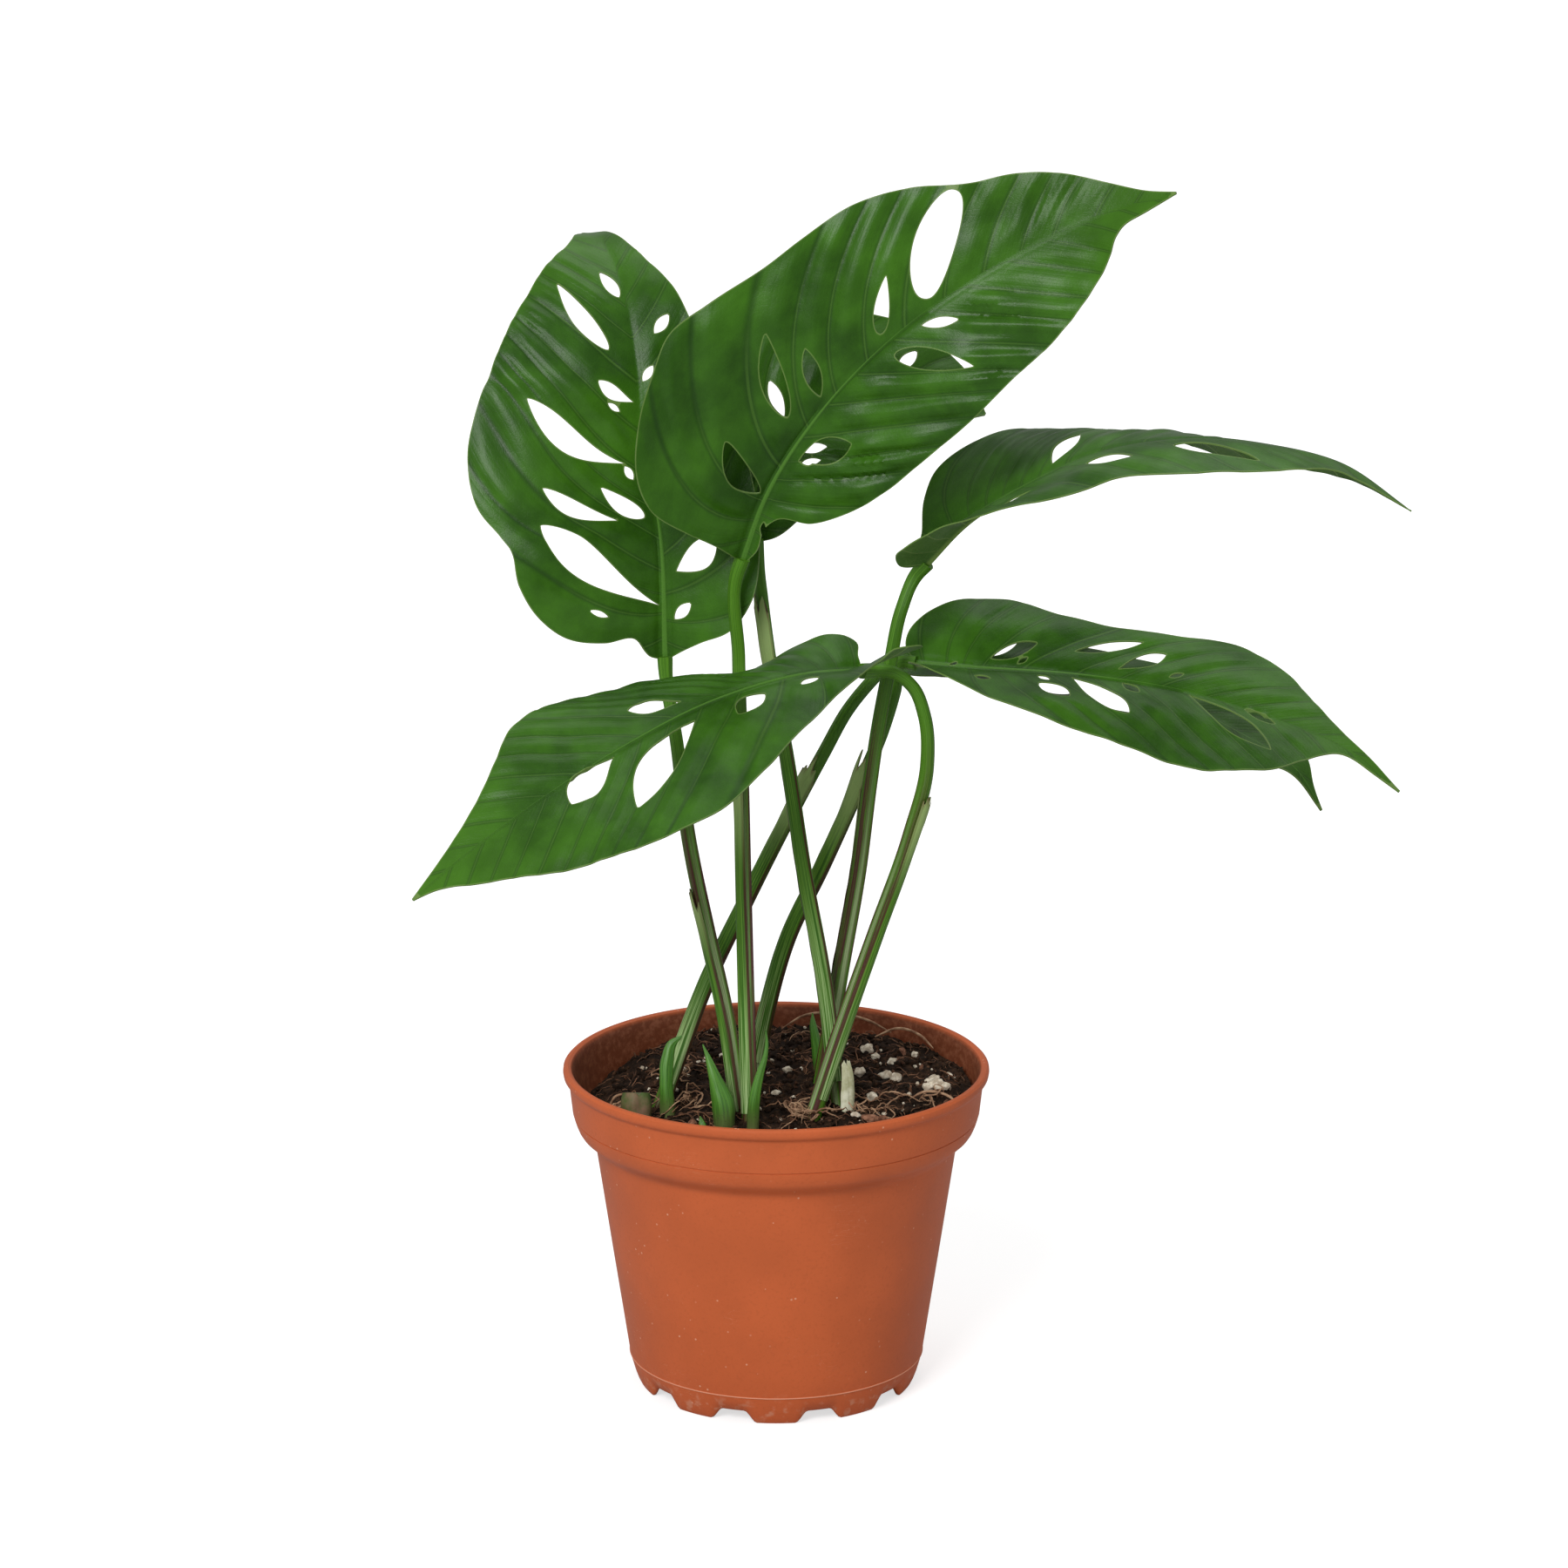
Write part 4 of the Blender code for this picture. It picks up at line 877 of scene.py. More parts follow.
def swept(path, facing, rings):
    """A closed skin of rings along a path. Each ring is (angles, radii, push along the path)."""
    sides, fronts, heads = carried_frames(path, facing)
    points = []
    for place, side, front, head, (angles, radii, push) in zip(path, sides, fronts, heads, rings):
        points.append(place + (np.sin(angles) * radii)[:, None] * side * MM
                      + (np.cos(angles) * radii)[:, None] * front * MM
                      + np.asarray(push)[:, None] * head * MM)
    count = len(rings[0][0])
    points = np.array(points)
    faces = []
    for ring in range(len(path) - 1):
        for i in range(count):
            j = (i + 1) % count
            faces.append((ring * count + i, ring * count + j, (ring + 1) * count + j, (ring + 1) * count + i))
    faces.append(tuple(range(count)))
    faces.append(tuple(range(len(path) * count - count, len(path) * count)))
    return points.reshape(-1, 3), faces


ROOTED = 12                         # how far a stalk goes down past the foot of its route
NECK = 4                            # its straight end, in line with the midrib
OVERLAP = 1.5                       # how far it runs on under the blade
STALK_SIDES = 32
SHEATH_STRANDS = 23                 # points across a sheath, from one edge to the other
SHEATH_WALL = 0.4
RING_SPACING = 1.3


def stalk_path(leaf):
    """From down in the soil, up the stalk's route, to the blade's joint in line with the midrib."""
    surface = BladeSurface(leaf)
    joint = surface.midrib[0]
    ahead = surface.heading[0] / np.linalg.norm(surface.heading[0])
    route = [np.array(from_rim(point)) for point in STALKS[leaf.name]]
    down = route[0] - route[1]
    rooted = route[0] + down / np.linalg.norm(down) * ROOTED * MM
    neck = [joint - ahead * NECK * MM, joint + ahead * OVERLAP * MM]
    return even_curve([rooted] + route + neck, RING_SPACING * MM)


def stalk_radius(settings, share):
    """Half the width of a stalk at a share of its length."""
    return settings.foot_radius / MM * (1 - share) + settings.top_radius / MM * share


def make_stalk(leaf, settings, finish):
    """One leaf stalk with its channel and two low wings."""
    path, length = stalk_path(leaf)
    look = SHEATHS[leaf.name]
    share = run_along(path) / length
    angles = np.linspace(-pi, pi, STALK_SIDES + 1)[:-1]
    rings = []
    for at in share:
        radius = stalk_radius(settings, at) + 0.5 * step(0.93, 1, at)
        channel = 0.24 * (1 - step(0.75, 0.97, at))
        wing = 0.16 * step(0.02, 0.2, at) * (1 - step(0.6, 0.92, at))
        radii = radius * (1 - channel * np.exp(-(angles / 0.5) ** 2)
                          + wing * np.exp(-((np.abs(angles) - 0.85) / 0.2) ** 2)
                          + 0.03 * np.cos(angles * 7))
        rings.append((angles, radii, np.zeros(STALK_SIDES)))
    points, faces = swept(path, look.facing, rings)
    piece = add_piece("stalk_" + leaf.name, points, faces, [finish])
    write_run(piece, share, length, look.seed * 50, np.sin(angles * 0.5) * 3)
    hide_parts("petiole_" + leaf.name)


def make_sheath(leaf, settings, finish):
    """The thin sheath around the lower part of a stalk, open on one side and torn at its top."""
    path, length = stalk_path(leaf)
    look = SHEATHS[leaf.name]
    low, high = look.span
    part = path[int(low * len(path)):int(high * len(path))]
    turns = np.linspace(-1, 1, SHEATH_STRANDS)
    edge = np.concatenate([turns, turns[::-1]])
    tear = noises((turn * 2.6, look.seed * 3.7, 0) for turn in turns)
    rings = []
    for i in range(len(part)):
        at = i / (len(part) - 1)
        half = radians(look.half_turn) * (1 - 0.35 * at)
        flare = 1.12 + 0.12 * at + look.flare * step(0.8, 1, at)
        push = step(0.9, 1, at) * (tear * 9 - np.abs(turns) ** 3 * 4)
        wave = 1 + 0.08 * np.abs(turns) ** 3 * noise.noise(Vector((at * 14, look.seed, 0)))
        outer = stalk_radius(settings, low + (high - low) * at) * flare * wave
        rings.append((edge * half, np.concatenate([outer, outer - SHEATH_WALL]),
                      np.concatenate([push, push[::-1]])))
    points, faces = swept(part, look.sheath_facing, rings)
    piece = add_piece("sheath_" + leaf.name, points, faces, [finish])
    write_run(piece, np.linspace(0, 1, len(part)), length, look.seed * 50, edge)


# Where each stalk's channel and sheath face, the stretch that the sheath covers, how far it wraps to
# either side, how far its torn end flares, and a number that sets its tear apart.
Sheath = namedtuple("Sheath", "facing sheath_facing span half_turn flare seed")

SHEATHS = {
    "back_left": Sheath((0.5, -1, 0), (-1, -0.3, 0), (0.07, 0.52), 95, 0.15, 1),
    "centre": Sheath((0.2, -1, 0), (-0.8, -0.6, 0), (0.07, 0.66), 85, 0.2, 2),
    "front_left": Sheath((-0.9, -0.6, 0), (0.9, -0.5, 0), (0.1, 0.68), 75, 0.3, 3),
    "upper_right": Sheath((0.5, -1, 0), (-0.2, 1, 0), (0.08, 0.6), 90, 0.1, 4),
    "lower_right": Sheath((0.4, -1, 0), (-0.7, -0.8, 0), (0.1, 0.76), 105, 0.6, 5),
    "behind_centre": Sheath((-0.4, -1, 0), (-0.3, -0.9, 0), (0.1, 0.9), 80, 0.25, 6),
    "under_right": Sheath((0.3, -1, 0), (-0.6, -0.8, 0), (0.1, 0.74), 100, 0.5, 7),
}


# ------------------------------------------------------------------------------------- young growth

# A shoot's route about the axis and above the rim, its half widths across and through at each place of
# the route, and the way that its broad side faces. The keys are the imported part's nodes, apart from
# shoot_tip, which is too small for it.
Shoot = namedtuple("Shoot", "piece slot route broad deep facing")

SHOOTS = {
    "shoot_green": Shoot(
        "young_shoot", "shoot",
        route=((-38, -35, -14), (-38, -35, -6), (-38.5, -34, 4), (-38, -32, 12), (-36.5, -31, 17),
               (-33, -31, 20)),
        broad=(2.6, 2.7, 2.4, 2.3, 1.6, 0.3), deep=(3.0, 3.0, 2.6, 2.2, 1.3, 0.2), facing=(0.2, -1, 0)),
    "shoot_bulbous": Shoot(
        "swollen_shoot", "shoot",
        route=((-18, -49, -15), (-18, -49, -6), (-18.5, -48, 1), (-21, -47, 9), (-23.5, -45, 16),
               (-25.5, -44, 21)),
        broad=(3.0, 3.8, 3.9, 2.4, 1.1, 0.2), deep=(3.4, 4.2, 4.3, 2.8, 1.2, 0.15), facing=(0.1, -1, 0)),
    "shoot_curled": Shoot(
        "curling_shoot", "shoot",
        route=((-8, -53, -15), (-8, -53, -6), (-7.5, -53, 4), (-5.5, -52, 13), (-3.5, -51, 20),
               (-3.2, -50, 25), (-3.6, -50, 28)),
        broad=(2.0, 2.1, 2.0, 1.4, 0.8, 0.5, 0.2), deep=(2.0, 2.1, 1.9, 1.3, 0.8, 0.5, 0.15),
        facing=(0.3, -1, 0)),
    "shoot_sheathed": Shoot(
        "wrapped_shoot", "shoot",
        route=((16, 10, -14), (15.6, 10, -6), (14, 11, 6), (13.2, 11.6, 11), (13, 12, 15)),
        broad=(2.3, 2.2, 1.8, 1.2, 0.2), deep=(2.0, 2.0, 1.5, 1.0, 0.15), facing=(-0.6, -1, 0)),
    "cut_stem_stub": Shoot(
        "stem_stub", "cut_stem",
        route=((-49, -37, -16), (-49, -37, -6), (-49, -36.5, -1), (-49, -36, 0.6)),
        broad=(5.2, 5.4, 5.2, 4.7), deep=(5.0, 5.2, 5.0, 4.4), facing=(0, -1, 0)),
    "torn_sheath": Shoot(
        "sheath_end", "dry_sheath",
        route=((25, -35, -14), (25, -35, -6), (25.2, -34.4, 2), (25, -34, 7), (24.4, -33.6, 11)),
        broad=(2.4, 2.6, 2.5, 2.2, 1.6), deep=(1.6, 1.5, 0.9, 0.5, 0.3), facing=(0.4, -1, 0)),
    "shoot_tip": Shoot(
        "shoot_tip", "shoot",
        route=((-25, -55, -14), (-25, -55, -9), (-25.6, -54.6, -5), (-26.4, -54, -2)),
        broad=(1.8, 1.9, 1.3, 0.2), deep=(1.6, 1.6, 1.0, 0.15), facing=(0, -1, 0)),
}

SHOOT_SIDES = 24
TORN = {"dry_sheath": 3.0, "cut_stem": 1.2}     # how ragged an end is, where it isn't a shoot's tip
TORN_RINGS = 3


def make_shoot(name, finish):
    """A shoot, stub or sheath end that stands in the soil, flattened, creased and tapered to its tip."""
    look = SHOOTS[name]
    path, length = even_curve([from_rim(point) for point in look.route], 0.7 * MM)
    share = run_along(path) / length
    knots = run_along(np.array(look.route, float))
    broad = smooth(knots / knots[-1], look.broad, share)
    deep = smooth(knots / knots[-1], look.deep, share)
    angles = np.linspace(-pi, pi, SHOOT_SIDES + 1)[:-1]
    seed = sum(map(ord, name)) % 89
    rings = []
    for at, wide, thick in zip(share, broad, deep):
        radii = 1 / np.sqrt((np.sin(angles) / wide) ** 2 + (np.cos(angles) / thick) ** 2)
        crease = 0.22 * step(0.25, 0.5, at) * np.exp(-((angles - 0.35) / 0.25) ** 2)
        lumps = noises((sin(turn) * 1.3, cos(turn) * 1.3, at * 6 + seed) for turn in angles)
        rings.append((angles, radii * (1 - crease + 0.09 * lumps), np.zeros(SHOOT_SIDES)))
    if look.slot in TORN:
        tear = noises((turn * 2.2, seed, 3) for turn in angles) * TORN[look.slot]
        for back in range(TORN_RINGS):
            spread, radii, push = rings[-1 - back]
            rings[-1 - back] = (spread, radii, tear * (1 - back / TORN_RINGS))
    points, faces = swept(path, look.facing, rings)
    piece = add_piece(look.piece, points, faces, [finish])
    write_run(piece, share, length, seed, np.sin(angles * 0.5) * 3)
    if name in frame["nodes"]:
        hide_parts(name)


# ------------------------------------------------------------------------------------- soil

SOIL_DEPTH = 7.5                    # from the rim down to the heaped part
SOIL_DIP = 10                       # how much deeper it lies at the left wall
SOIL_DIP_START = 30                 # distance left of the axis where it starts to fall
SOIL_RADIUS = 69.8
PLUG_DEPTH = 30                     # of the flat underside of the soil
PLUG_SHARE = 0.88                   # of its radius, so that it stays inside the narrower wall


def soil_level(x, y):
    """The soil's height about the rim plane: heaped on the right, washed down on the left."""
    share = min(max((-x - SOIL_DIP_START) / (MOUTH_RADIUS - SOIL_DIP_START), 0), 1)
    dip = SOIL_DIP * share * share * (3 - 2 * share)
    lump = noise.noise(Vector((x, y, 0)) * 0.06) * 1.8
    clod = noise.noise(Vector((x, y, 5)) * 0.19) * 1.5
    crumb = abs(noise.noise(Vector((x, y, 9)) * 0.55)) * 1.6 + noise.noise(Vector((x, y, 2)) * 1.3) * 0.45
    wall = step(SOIL_RADIUS - 9, SOIL_RADIUS, np.hypot(x, y))
    front = float(step(40, 66, -y)) * 2.2
    return -SOIL_DEPTH - dip + lump + clod + crumb - float(wall) * 1.2 - front


def make_soil(settings, finish):
    """The soil: a lumpy surface that meets the wall all round, on a plug that goes down inside the pot."""
    turns = np.linspace(0, 2 * pi, 361)[:-1]
    outline = np.stack([np.cos(turns), np.sin(turns)], 1) * SOIL_RADIUS
    flat, corners = fill_flat(outline, [], settings.cell / MM)[:2]
    top = np.array([from_rim((x, y, soil_level(x, y))) for x, y in flat])
    count = len(flat)
    low = np.array([from_rim((x * PLUG_SHARE, y * PLUG_SHARE, -PLUG_DEPTH)) for x, y in flat])
    rim = border_edges(corners)
    border = np.unique(rim)
    number = {int(old): count + i for i, old in enumerate(border)}
    faces = [tuple(face) for face in corners]
    faces += [(a, number[int(a)], number[int(b)], b) for a, b in rim]
    ring = sorted(border, key=lambda i: np.arctan2(flat[i][1], flat[i][0]))
    faces.append(tuple(number[int(i)] for i in ring))
    piece = add_piece("potting_soil_top", np.concatenate([top, low[border]]), faces, [finish],
                      smooth_angle=70)
    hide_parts("potting_soil")


def grain_shapes(count, subdivisions, seed):
    """A few irregular grains to copy from: an ico sphere knocked about, as (points, faces)."""
    shapes = []
    for i in range(count):
        choose()
        bpy.ops.mesh.primitive_ico_sphere_add(subdivisions=subdivisions, radius=1)
        ball = bpy.context.object
        points = np.array([vertex.co for vertex in ball.data.vertices])
        bump = rough(points, 1.1, seed + i) * 0.45 + rough(points, 2.7, seed + i + 40) * 0.18
        shapes.append((points * (1 + bump)[:, None], [tuple(face.vertices) for face in ball.data.polygons]))
        bpy.data.objects.remove(ball)
    return shapes


def scattered(shapes, places, sizes, rng, flatten=(0.55, 1.0)):
    """Copies of the shapes, each turned and sized, as one set of points and faces."""
    copies = []
    for place, size in zip(places, sizes):
        shape, shape_faces = shapes[int(rng.integers(len(shapes)))]
        turn = Matrix.Rotation(rng.uniform(0, 6.3), 3, Vector(rng.normal(size=3)).normalized())
        spread = np.array((1.0, rng.uniform(*flatten), rng.uniform(*flatten))) * size
        copies.append(((shape * spread) @ np.array(turn).T * MM + np.array(from_rim(place)), shape_faces))
    return joined(copies)


def on_soil(x, y, lift=0.0):
    """A place on the soil or a little above it."""
    return x, y, soil_level(x, y) + lift


def in_pot(rng, count, reach=68.5):
    """Places spread evenly over the soil."""
    radii = np.sqrt(rng.uniform(0, 1, count)) * reach
    turns = rng.uniform(0, 2 * pi, count)
    return np.stack([radii * np.cos(turns), radii * np.sin(turns)], 1)


def make_crumbs(settings, finish, pale):
    """Loose peat: hundreds of small crumbs, and fewer reddish-brown bits of fibre and bark."""
    rng = np.random.default_rng(11)
    shapes = grain_shapes(6, 1, 20)
    count = settings.crumb_count
    spots = in_pot(rng, count)
    sizes = rng.uniform(0.5, 1.5, count) * rng.uniform(0.6, 1.25, count)
    places = [on_soil(x, y, size * 0.35) for (x, y), size in zip(spots, sizes)]
    points, faces = scattered(shapes, places, sizes, rng)
    add_piece("peat_crumbs", points, faces, [finish], smooth_angle=80)
    count = settings.crumb_count // 5
    spots = in_pot(rng, count)
    sizes = rng.uniform(0.6, 1.7, count)
    places = [on_soil(x, y, size * 0.5) for (x, y), size in zip(spots, sizes)]
    points, faces = scattered(shapes, places, sizes, rng, (0.25, 0.6))
    add_piece("peat_flakes", points, faces, [pale], smooth_angle=60)


def thread(points, radius, sides=4):
    """A thin closed tube along points, in millimetres about the rim, as (points, faces)."""
    path = np.array([from_rim(point) for point in points])
    angles = np.linspace(-pi, pi, sides + 1)[:-1]
    rings = []
    for i in range(len(path)):
        end = min(i, len(path) - 1 - i) / max(len(path) - 1, 1)
        rings.append((angles, np.full(sides, radius * (0.35 + 0.65 * min(1, end * 5))), np.zeros(sides)))
    return swept(path, (0.13, 0.21, 1), rings)


def joined(shapes):
    """Several sets of points and faces as one."""
    points, faces = [], []
    count = 0
    for shape, shape_faces in shapes:
        points.append(shape)
        faces += [tuple(i + count for i in face) for face in shape_faces]
        count += len(shape)
    return np.concatenate(points), faces


FIBRE_REACH = 69                    # a fibre that gets this far from the axis turns back


def wander(rng, start, heading, length, curl, count, lift):
    """A fibre lying on the soil: it keeps its heading but curls as it goes."""
    points = []
    x, y = start
    turn = heading
    bend = rng.normal(0, curl)
    for i in range(count):
        high = lift * (0.4 + sin(pi * i / (count - 1))) + rng.uniform(0, 0.2)
        points.append(on_soil(x, y, high))
        turn += bend + rng.normal(0, curl * 0.5)
        x += cos(turn) * length / count
        y += sin(turn) * length / count
        if np.hypot(x, y) > FIBRE_REACH:
            turn += 2.2
            x *= 0.97
            y *= 0.97
    return points


def make_fibres(settings, finish, tan):
    """Fine peat fibres all over the soil, curly roots at the left and a nest of them by the front stalks."""
    rng = np.random.default_rng(23)
    shapes = []
    for x, y in in_pot(rng, settings.fibre_count, 66):
        path = wander(rng, (x, y), rng.uniform(0, 6.3), rng.uniform(4, 15), 0.28, 8, rng.uniform(0.3, 1.4))
        shapes.append(thread(path, rng.uniform(0.1, 0.24)))
    points, faces = joined(shapes)
    add_piece("peat_fibres", points, faces, [finish], smooth_angle=80)

    shapes = []
    for x, y, spread, count in ROOT_NESTS:
        for i in range(count):
            start = (x + rng.normal(0, spread * 0.5), y + rng.normal(0, spread * 0.5))
            path = wander(rng, start, rng.uniform(0, 6.3), rng.uniform(9, 24), 0.55, 14,
                          rng.uniform(0.8, 4.2))
            shapes.append(thread(path, rng.uniform(0.16, 0.36), 5))
    for loop in ROOT_LOOPS:
        shapes.append(thread(even_curve(loop, count=26)[0], 0.5, 6))
    points, faces = joined(shapes)
    add_piece("roots", points, faces, [tan], smooth_angle=80)


# Where roots gather on the soil: place about the pot's axis, spread and how many.
ROOT_NESTS = ((-54, -18, 5, 16), (-30, -24, 6, 12), (9, -40, 4.5, 34), (-34, 6, 6, 8), (52, -24, 7, 7),
              (20, 44, 8, 6), (30, -40, 6, 8))

ROOT_LOOPS = (
    ((-60, -12, -16), (-57, -14, -8), (-52, -18, -6), (-47, -22, -9), (-46, -24, -13)),
    ((-58, -20, -15), (-55, -22, -9), (-50, -24, -8), (-46, -21, -10), (-48, -17, -12), (-52, -18, -11)),
    ((47, -26, -5), (52, -24, -3), (57, -23, -3.4), (62, -25, -5), (64, -27, -7)),
    ((2, 57, -5), (10, 60, -1), (22, 60, 0), (34, 57, -2), (42, 52, -5)),
    ((36, 47, -5), (44, 46, -1.5), (52, 40, -2), (57, 33, -5)),
)

# Perlite grains that stand out: place about the axis and half size.
PERLITE = (
    (56, -4, 2.9), (57, -10, 3.3), (60, -13, 2.2), (54, -12, 2.0), (33, 35, 2.4), (36, 29, 1.6),
    (30, 9, 2.2), (39, 5, 2.5), (43, 3, 2.1), (34, -20, 2.1), (47, -18, 1.3), (28, -42, 1.6), (4, 8, 1.7),
    (-25, 24, 1.5), (-19, 27, 1.8), (-33, 12, 1.3), (42, 20, 1.8), (50, 30, 1.4), (18, 44, 1.4),
    (-36, -12, 1.5), (0, -14, 1.5), (6, -18, 1.1), (62, 8, 1.5), (23, 22, 1.2), (-50, -32, 1.4),
    (14, -22, 1.0),
)

# Bark chips: place about the axis and half size.
BARK = (
    (33, -45, 3.4), (38, -48, 4.2), (43, -45, 3.0), (29, -52, 2.4), (-46, -8, 2.6), (-12, 30, 2.4),
    (46, 34, 2.6), (-58, -22, 2.8), (-29, -48, 2.3), (-3, -58, 2.6), (12, -58, 2.4), (60, -24, 2.0),
    (-40, 18, 2.6), (52, 18, 1.8),
)


def make_grit(settings, white, brown):
    """Chalky perlite grains and fibrous bark chips, pressed into the soil."""
    rng = np.random.default_rng(31)
    shapes = grain_shapes(7, 3, 60)
    spots = [tuple(spot) for spot in in_pot(rng, settings.perlite_count, 66)]
    sizes = [grain[2] for grain in PERLITE] + list(rng.uniform(0.35, 0.9, len(spots)))
    spots = [grain[:2] for grain in PERLITE] + spots
    places = [on_soil(x, y, size * 0.45) for (x, y), size in zip(spots, sizes)]
    points, faces = scattered(shapes, places, sizes, rng, (0.65, 1.0))
    piece = add_piece("perlite", points, faces, [white], smooth_angle=70)
    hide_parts(*[name for name in frame["nodes"] if name.startswith("perlite_")])
    places = [on_soil(x, y, size * 0.3) for x, y, size in BARK]
    points, faces = scattered(shapes, places, [chip[2] for chip in BARK], rng, (0.3, 0.6))
    piece = add_piece("bark_chips", points, faces, [brown], smooth_angle=40)
    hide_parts(*[name for name in frame["nodes"] if name.startswith("bark_chip_")])


# ------------------------------------------------------------------------------------- pot

# The pot's skin in four stretches: the inside from the band down to the floor, the rolled lip from the
# inside over to the outside, the band, and the skirt down to the feet and in under the floor. Each place
# is its radius and its depth below the rim plane.
FLOOR_DEPTH = 110.8
INSIDE = ((71.3, 14), (70.6, 18), (69.4, 21), (68.2, 23.0), (66.8, 24.2), (65.2, 25.3), (64.0, 26.3),
          (63.4, 27.4), (63.2, 28.6), (57.3, 69.0), (51.4, 107.4), (50.9, 110.2), (49.8, FLOOR_DEPTH),
          (30.0, FLOOR_DEPTH), (0.0, FLOOR_DEPTH))
LIP = ((72.3, 5.0), (72.6, 1.6), (73.2, 0.55), (74.2, 0.05), (75.2, 0.2), (75.9, 0.9), (76.0, 1.9),
       (75.8, 3.0), (75.2, 3.9), (74.5, 4.3), (74.1, 4.8), (MOUTH_RADIUS, 5.6))
BAND = ((73.3, 11), (72.68, 16.55), (72.62, 16.8), (72.2, 16.95), (72.2, 17.15), (72.42, 17.3), (72.2, 18.3),
        (71.6, 20.2), (70.9, 21.9), (70.2, 23.0), (69.0, 24.1), (67.6, 25.2), (66.0, 26.4), (65.2, 27.2),
        (64.8, 28.0), (64.6, 28.8))
SKIRT = ((58.6, 69.0), (52.9, 106.6), (52.8, 107.0), (53.02, 107.15), (53.02, 107.4), (52.7, 107.55),
         (52.3, 109.5), (51.3, 113.0), (50.2, 116.0), (49.5, 117.4), (49.1, 117.9), (48.6, 118.0),
         (48.1, 117.8), (48.0, 117.2), (48.6, 114.5), (49.6, 112.3), (49.4, 112.0), (0.0, 112.0))
UNDER_FLOOR = 112.05                # deeper than this is a foot
FEET_DEPTH, FEET_RADIUS = 108.0, 50.2       # and so is the outside below here
LIFT_START, LIFT_HEIGHT = 109.0, 9.0        # the skirt lifts more and more over this stretch
DRAIN_RADIUS = 4
DRAIN_CIRCLE = 30
DRAIN_CUT = 6                       # length of the tool that cuts a drain hole, centred in the floor
DRAIN_DEPTH = 111.4


def lathed(name, profile, steps):
    """A profile of (radius, depth below the rim) spun about the pot's axis and welded."""
    mesh = bpy.data.meshes.new(name)
    mesh.from_pydata([tuple(from_rim((radius, 0, -depth))) for radius, depth in profile],
                     [(i, i + 1) for i in range(len(profile) - 1)], [])
    made = bpy.data.objects.new(name, mesh)
    bpy.context.scene.collection.objects.link(made)
    choose(made)
    bpy.ops.object.mode_set(mode="EDIT")
    bpy.ops.mesh.select_all(action="SELECT")
    bpy.ops.mesh.spin(steps=steps, angle=2 * pi, center=AXIS, axis=(0, 0, 1))
    bpy.ops.mesh.select_all(action="SELECT")
    bpy.ops.mesh.remove_doubles(threshold=0.00001)
    bpy.ops.mesh.normals_make_consistent(inside=False)
    bpy.ops.object.mode_set(mode="OBJECT")
    return made


def carve(target, tool):
    """Cuts the tool out of the target and removes it."""
    cut = target.modifiers.new("cut", "BOOLEAN")
    cut.object = tool
    cut.operation = "DIFFERENCE"
    cut.solver = "EXACT"
    choose(target)
    bpy.ops.object.modifier_apply(modifier="cut")
    bpy.data.objects.remove(tool)


def make_pot(settings, finish):
    """The pot: a thin lathed wall with a rolled lip, two mould lines and a skirt lifted between its feet."""
    pot = lathed("nursery_pot", INSIDE[::-1] + LIP + BAND + SKIRT, settings.steps)
    for vertex in pot.data.vertices:
        place = (vertex.co - AXIS) / MM
        depth = -place.z
        if depth > UNDER_FLOOR or (depth > FEET_DEPTH and place.xy.length > FEET_RADIUS):
            feet = (np.arctan2(place.y, place.x) + pi / 2) / (2 * pi) * settings.feet
            between = abs(feet - round(feet)) * 2
            raised = float(step(0.44, 0.74, between)) * settings.notch_height / MM
            share = min(max((depth - LIFT_START) / LIFT_HEIGHT, 0), 1)
            vertex.co.z += raised * share * MM
    for i in range(settings.drains):
        turn = 2 * pi * i / settings.drains
        choose()
        spot = (DRAIN_CIRCLE * cos(turn), DRAIN_CIRCLE * sin(turn), -DRAIN_DEPTH)
        bpy.ops.mesh.primitive_cylinder_add(vertices=32, radius=DRAIN_RADIUS * MM, depth=DRAIN_CUT * MM,
                                            location=from_rim(spot))
        carve(pot, bpy.context.object)
    dress(pot, [finish], 32)
    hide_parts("pot")


# ------------------------------------------------------------------------------------- settings

def length_setting(name, description, default, low=0.0, high=0.1):
    """A size in the panel."""
    return bpy.props.FloatProperty(name=name, description=description, default=default, min=low, max=high,
                                   unit="LENGTH", precision=5)


def color_setting(name, description, default):
    """A colour in the panel."""
    return bpy.props.FloatVectorProperty(name=name, description=description, default=default, min=0.0,
                                         max=1.0, size=3, subtype="COLOR")


def amount_setting(name, description, default, **more):
    """A plain number in the panel."""
    return bpy.props.FloatProperty(name=name, description=description, default=default, min=0.0, **more)


def count_setting(name, description, default, low=0):
    """A whole number in the panel."""
    return bpy.props.IntProperty(name=name, description=description, default=default, min=low)


class LeafSettings(bpy.types.PropertyGroup):
    thickness: length_setting("Thickness", "How thick a blade is between its veins", 0.5 * MM)
    cell: length_setting("Mesh cell", "Width of a blade's triangles", 1.3 * MM)
    vein_spacing: length_setting("Vein spacing", "Distance between side veins along the midrib", 14.5 * MM)
    quilt_depth: length_setting("Quilting", "How far the blade stands up between its side veins", 2.6 * MM)
    roughness: amount_setting("Roughness", "Roughness of the waxy upper side", 0.36, max=1.0)
    bright_green: color_setting("Bright green", "Colour of the brighter patches", (0.046, 0.155, 0.007))
    vein_color: color_setting("Midrib colour", "Colour of the midrib on the upper side", (0.08, 0.21, 0.025))


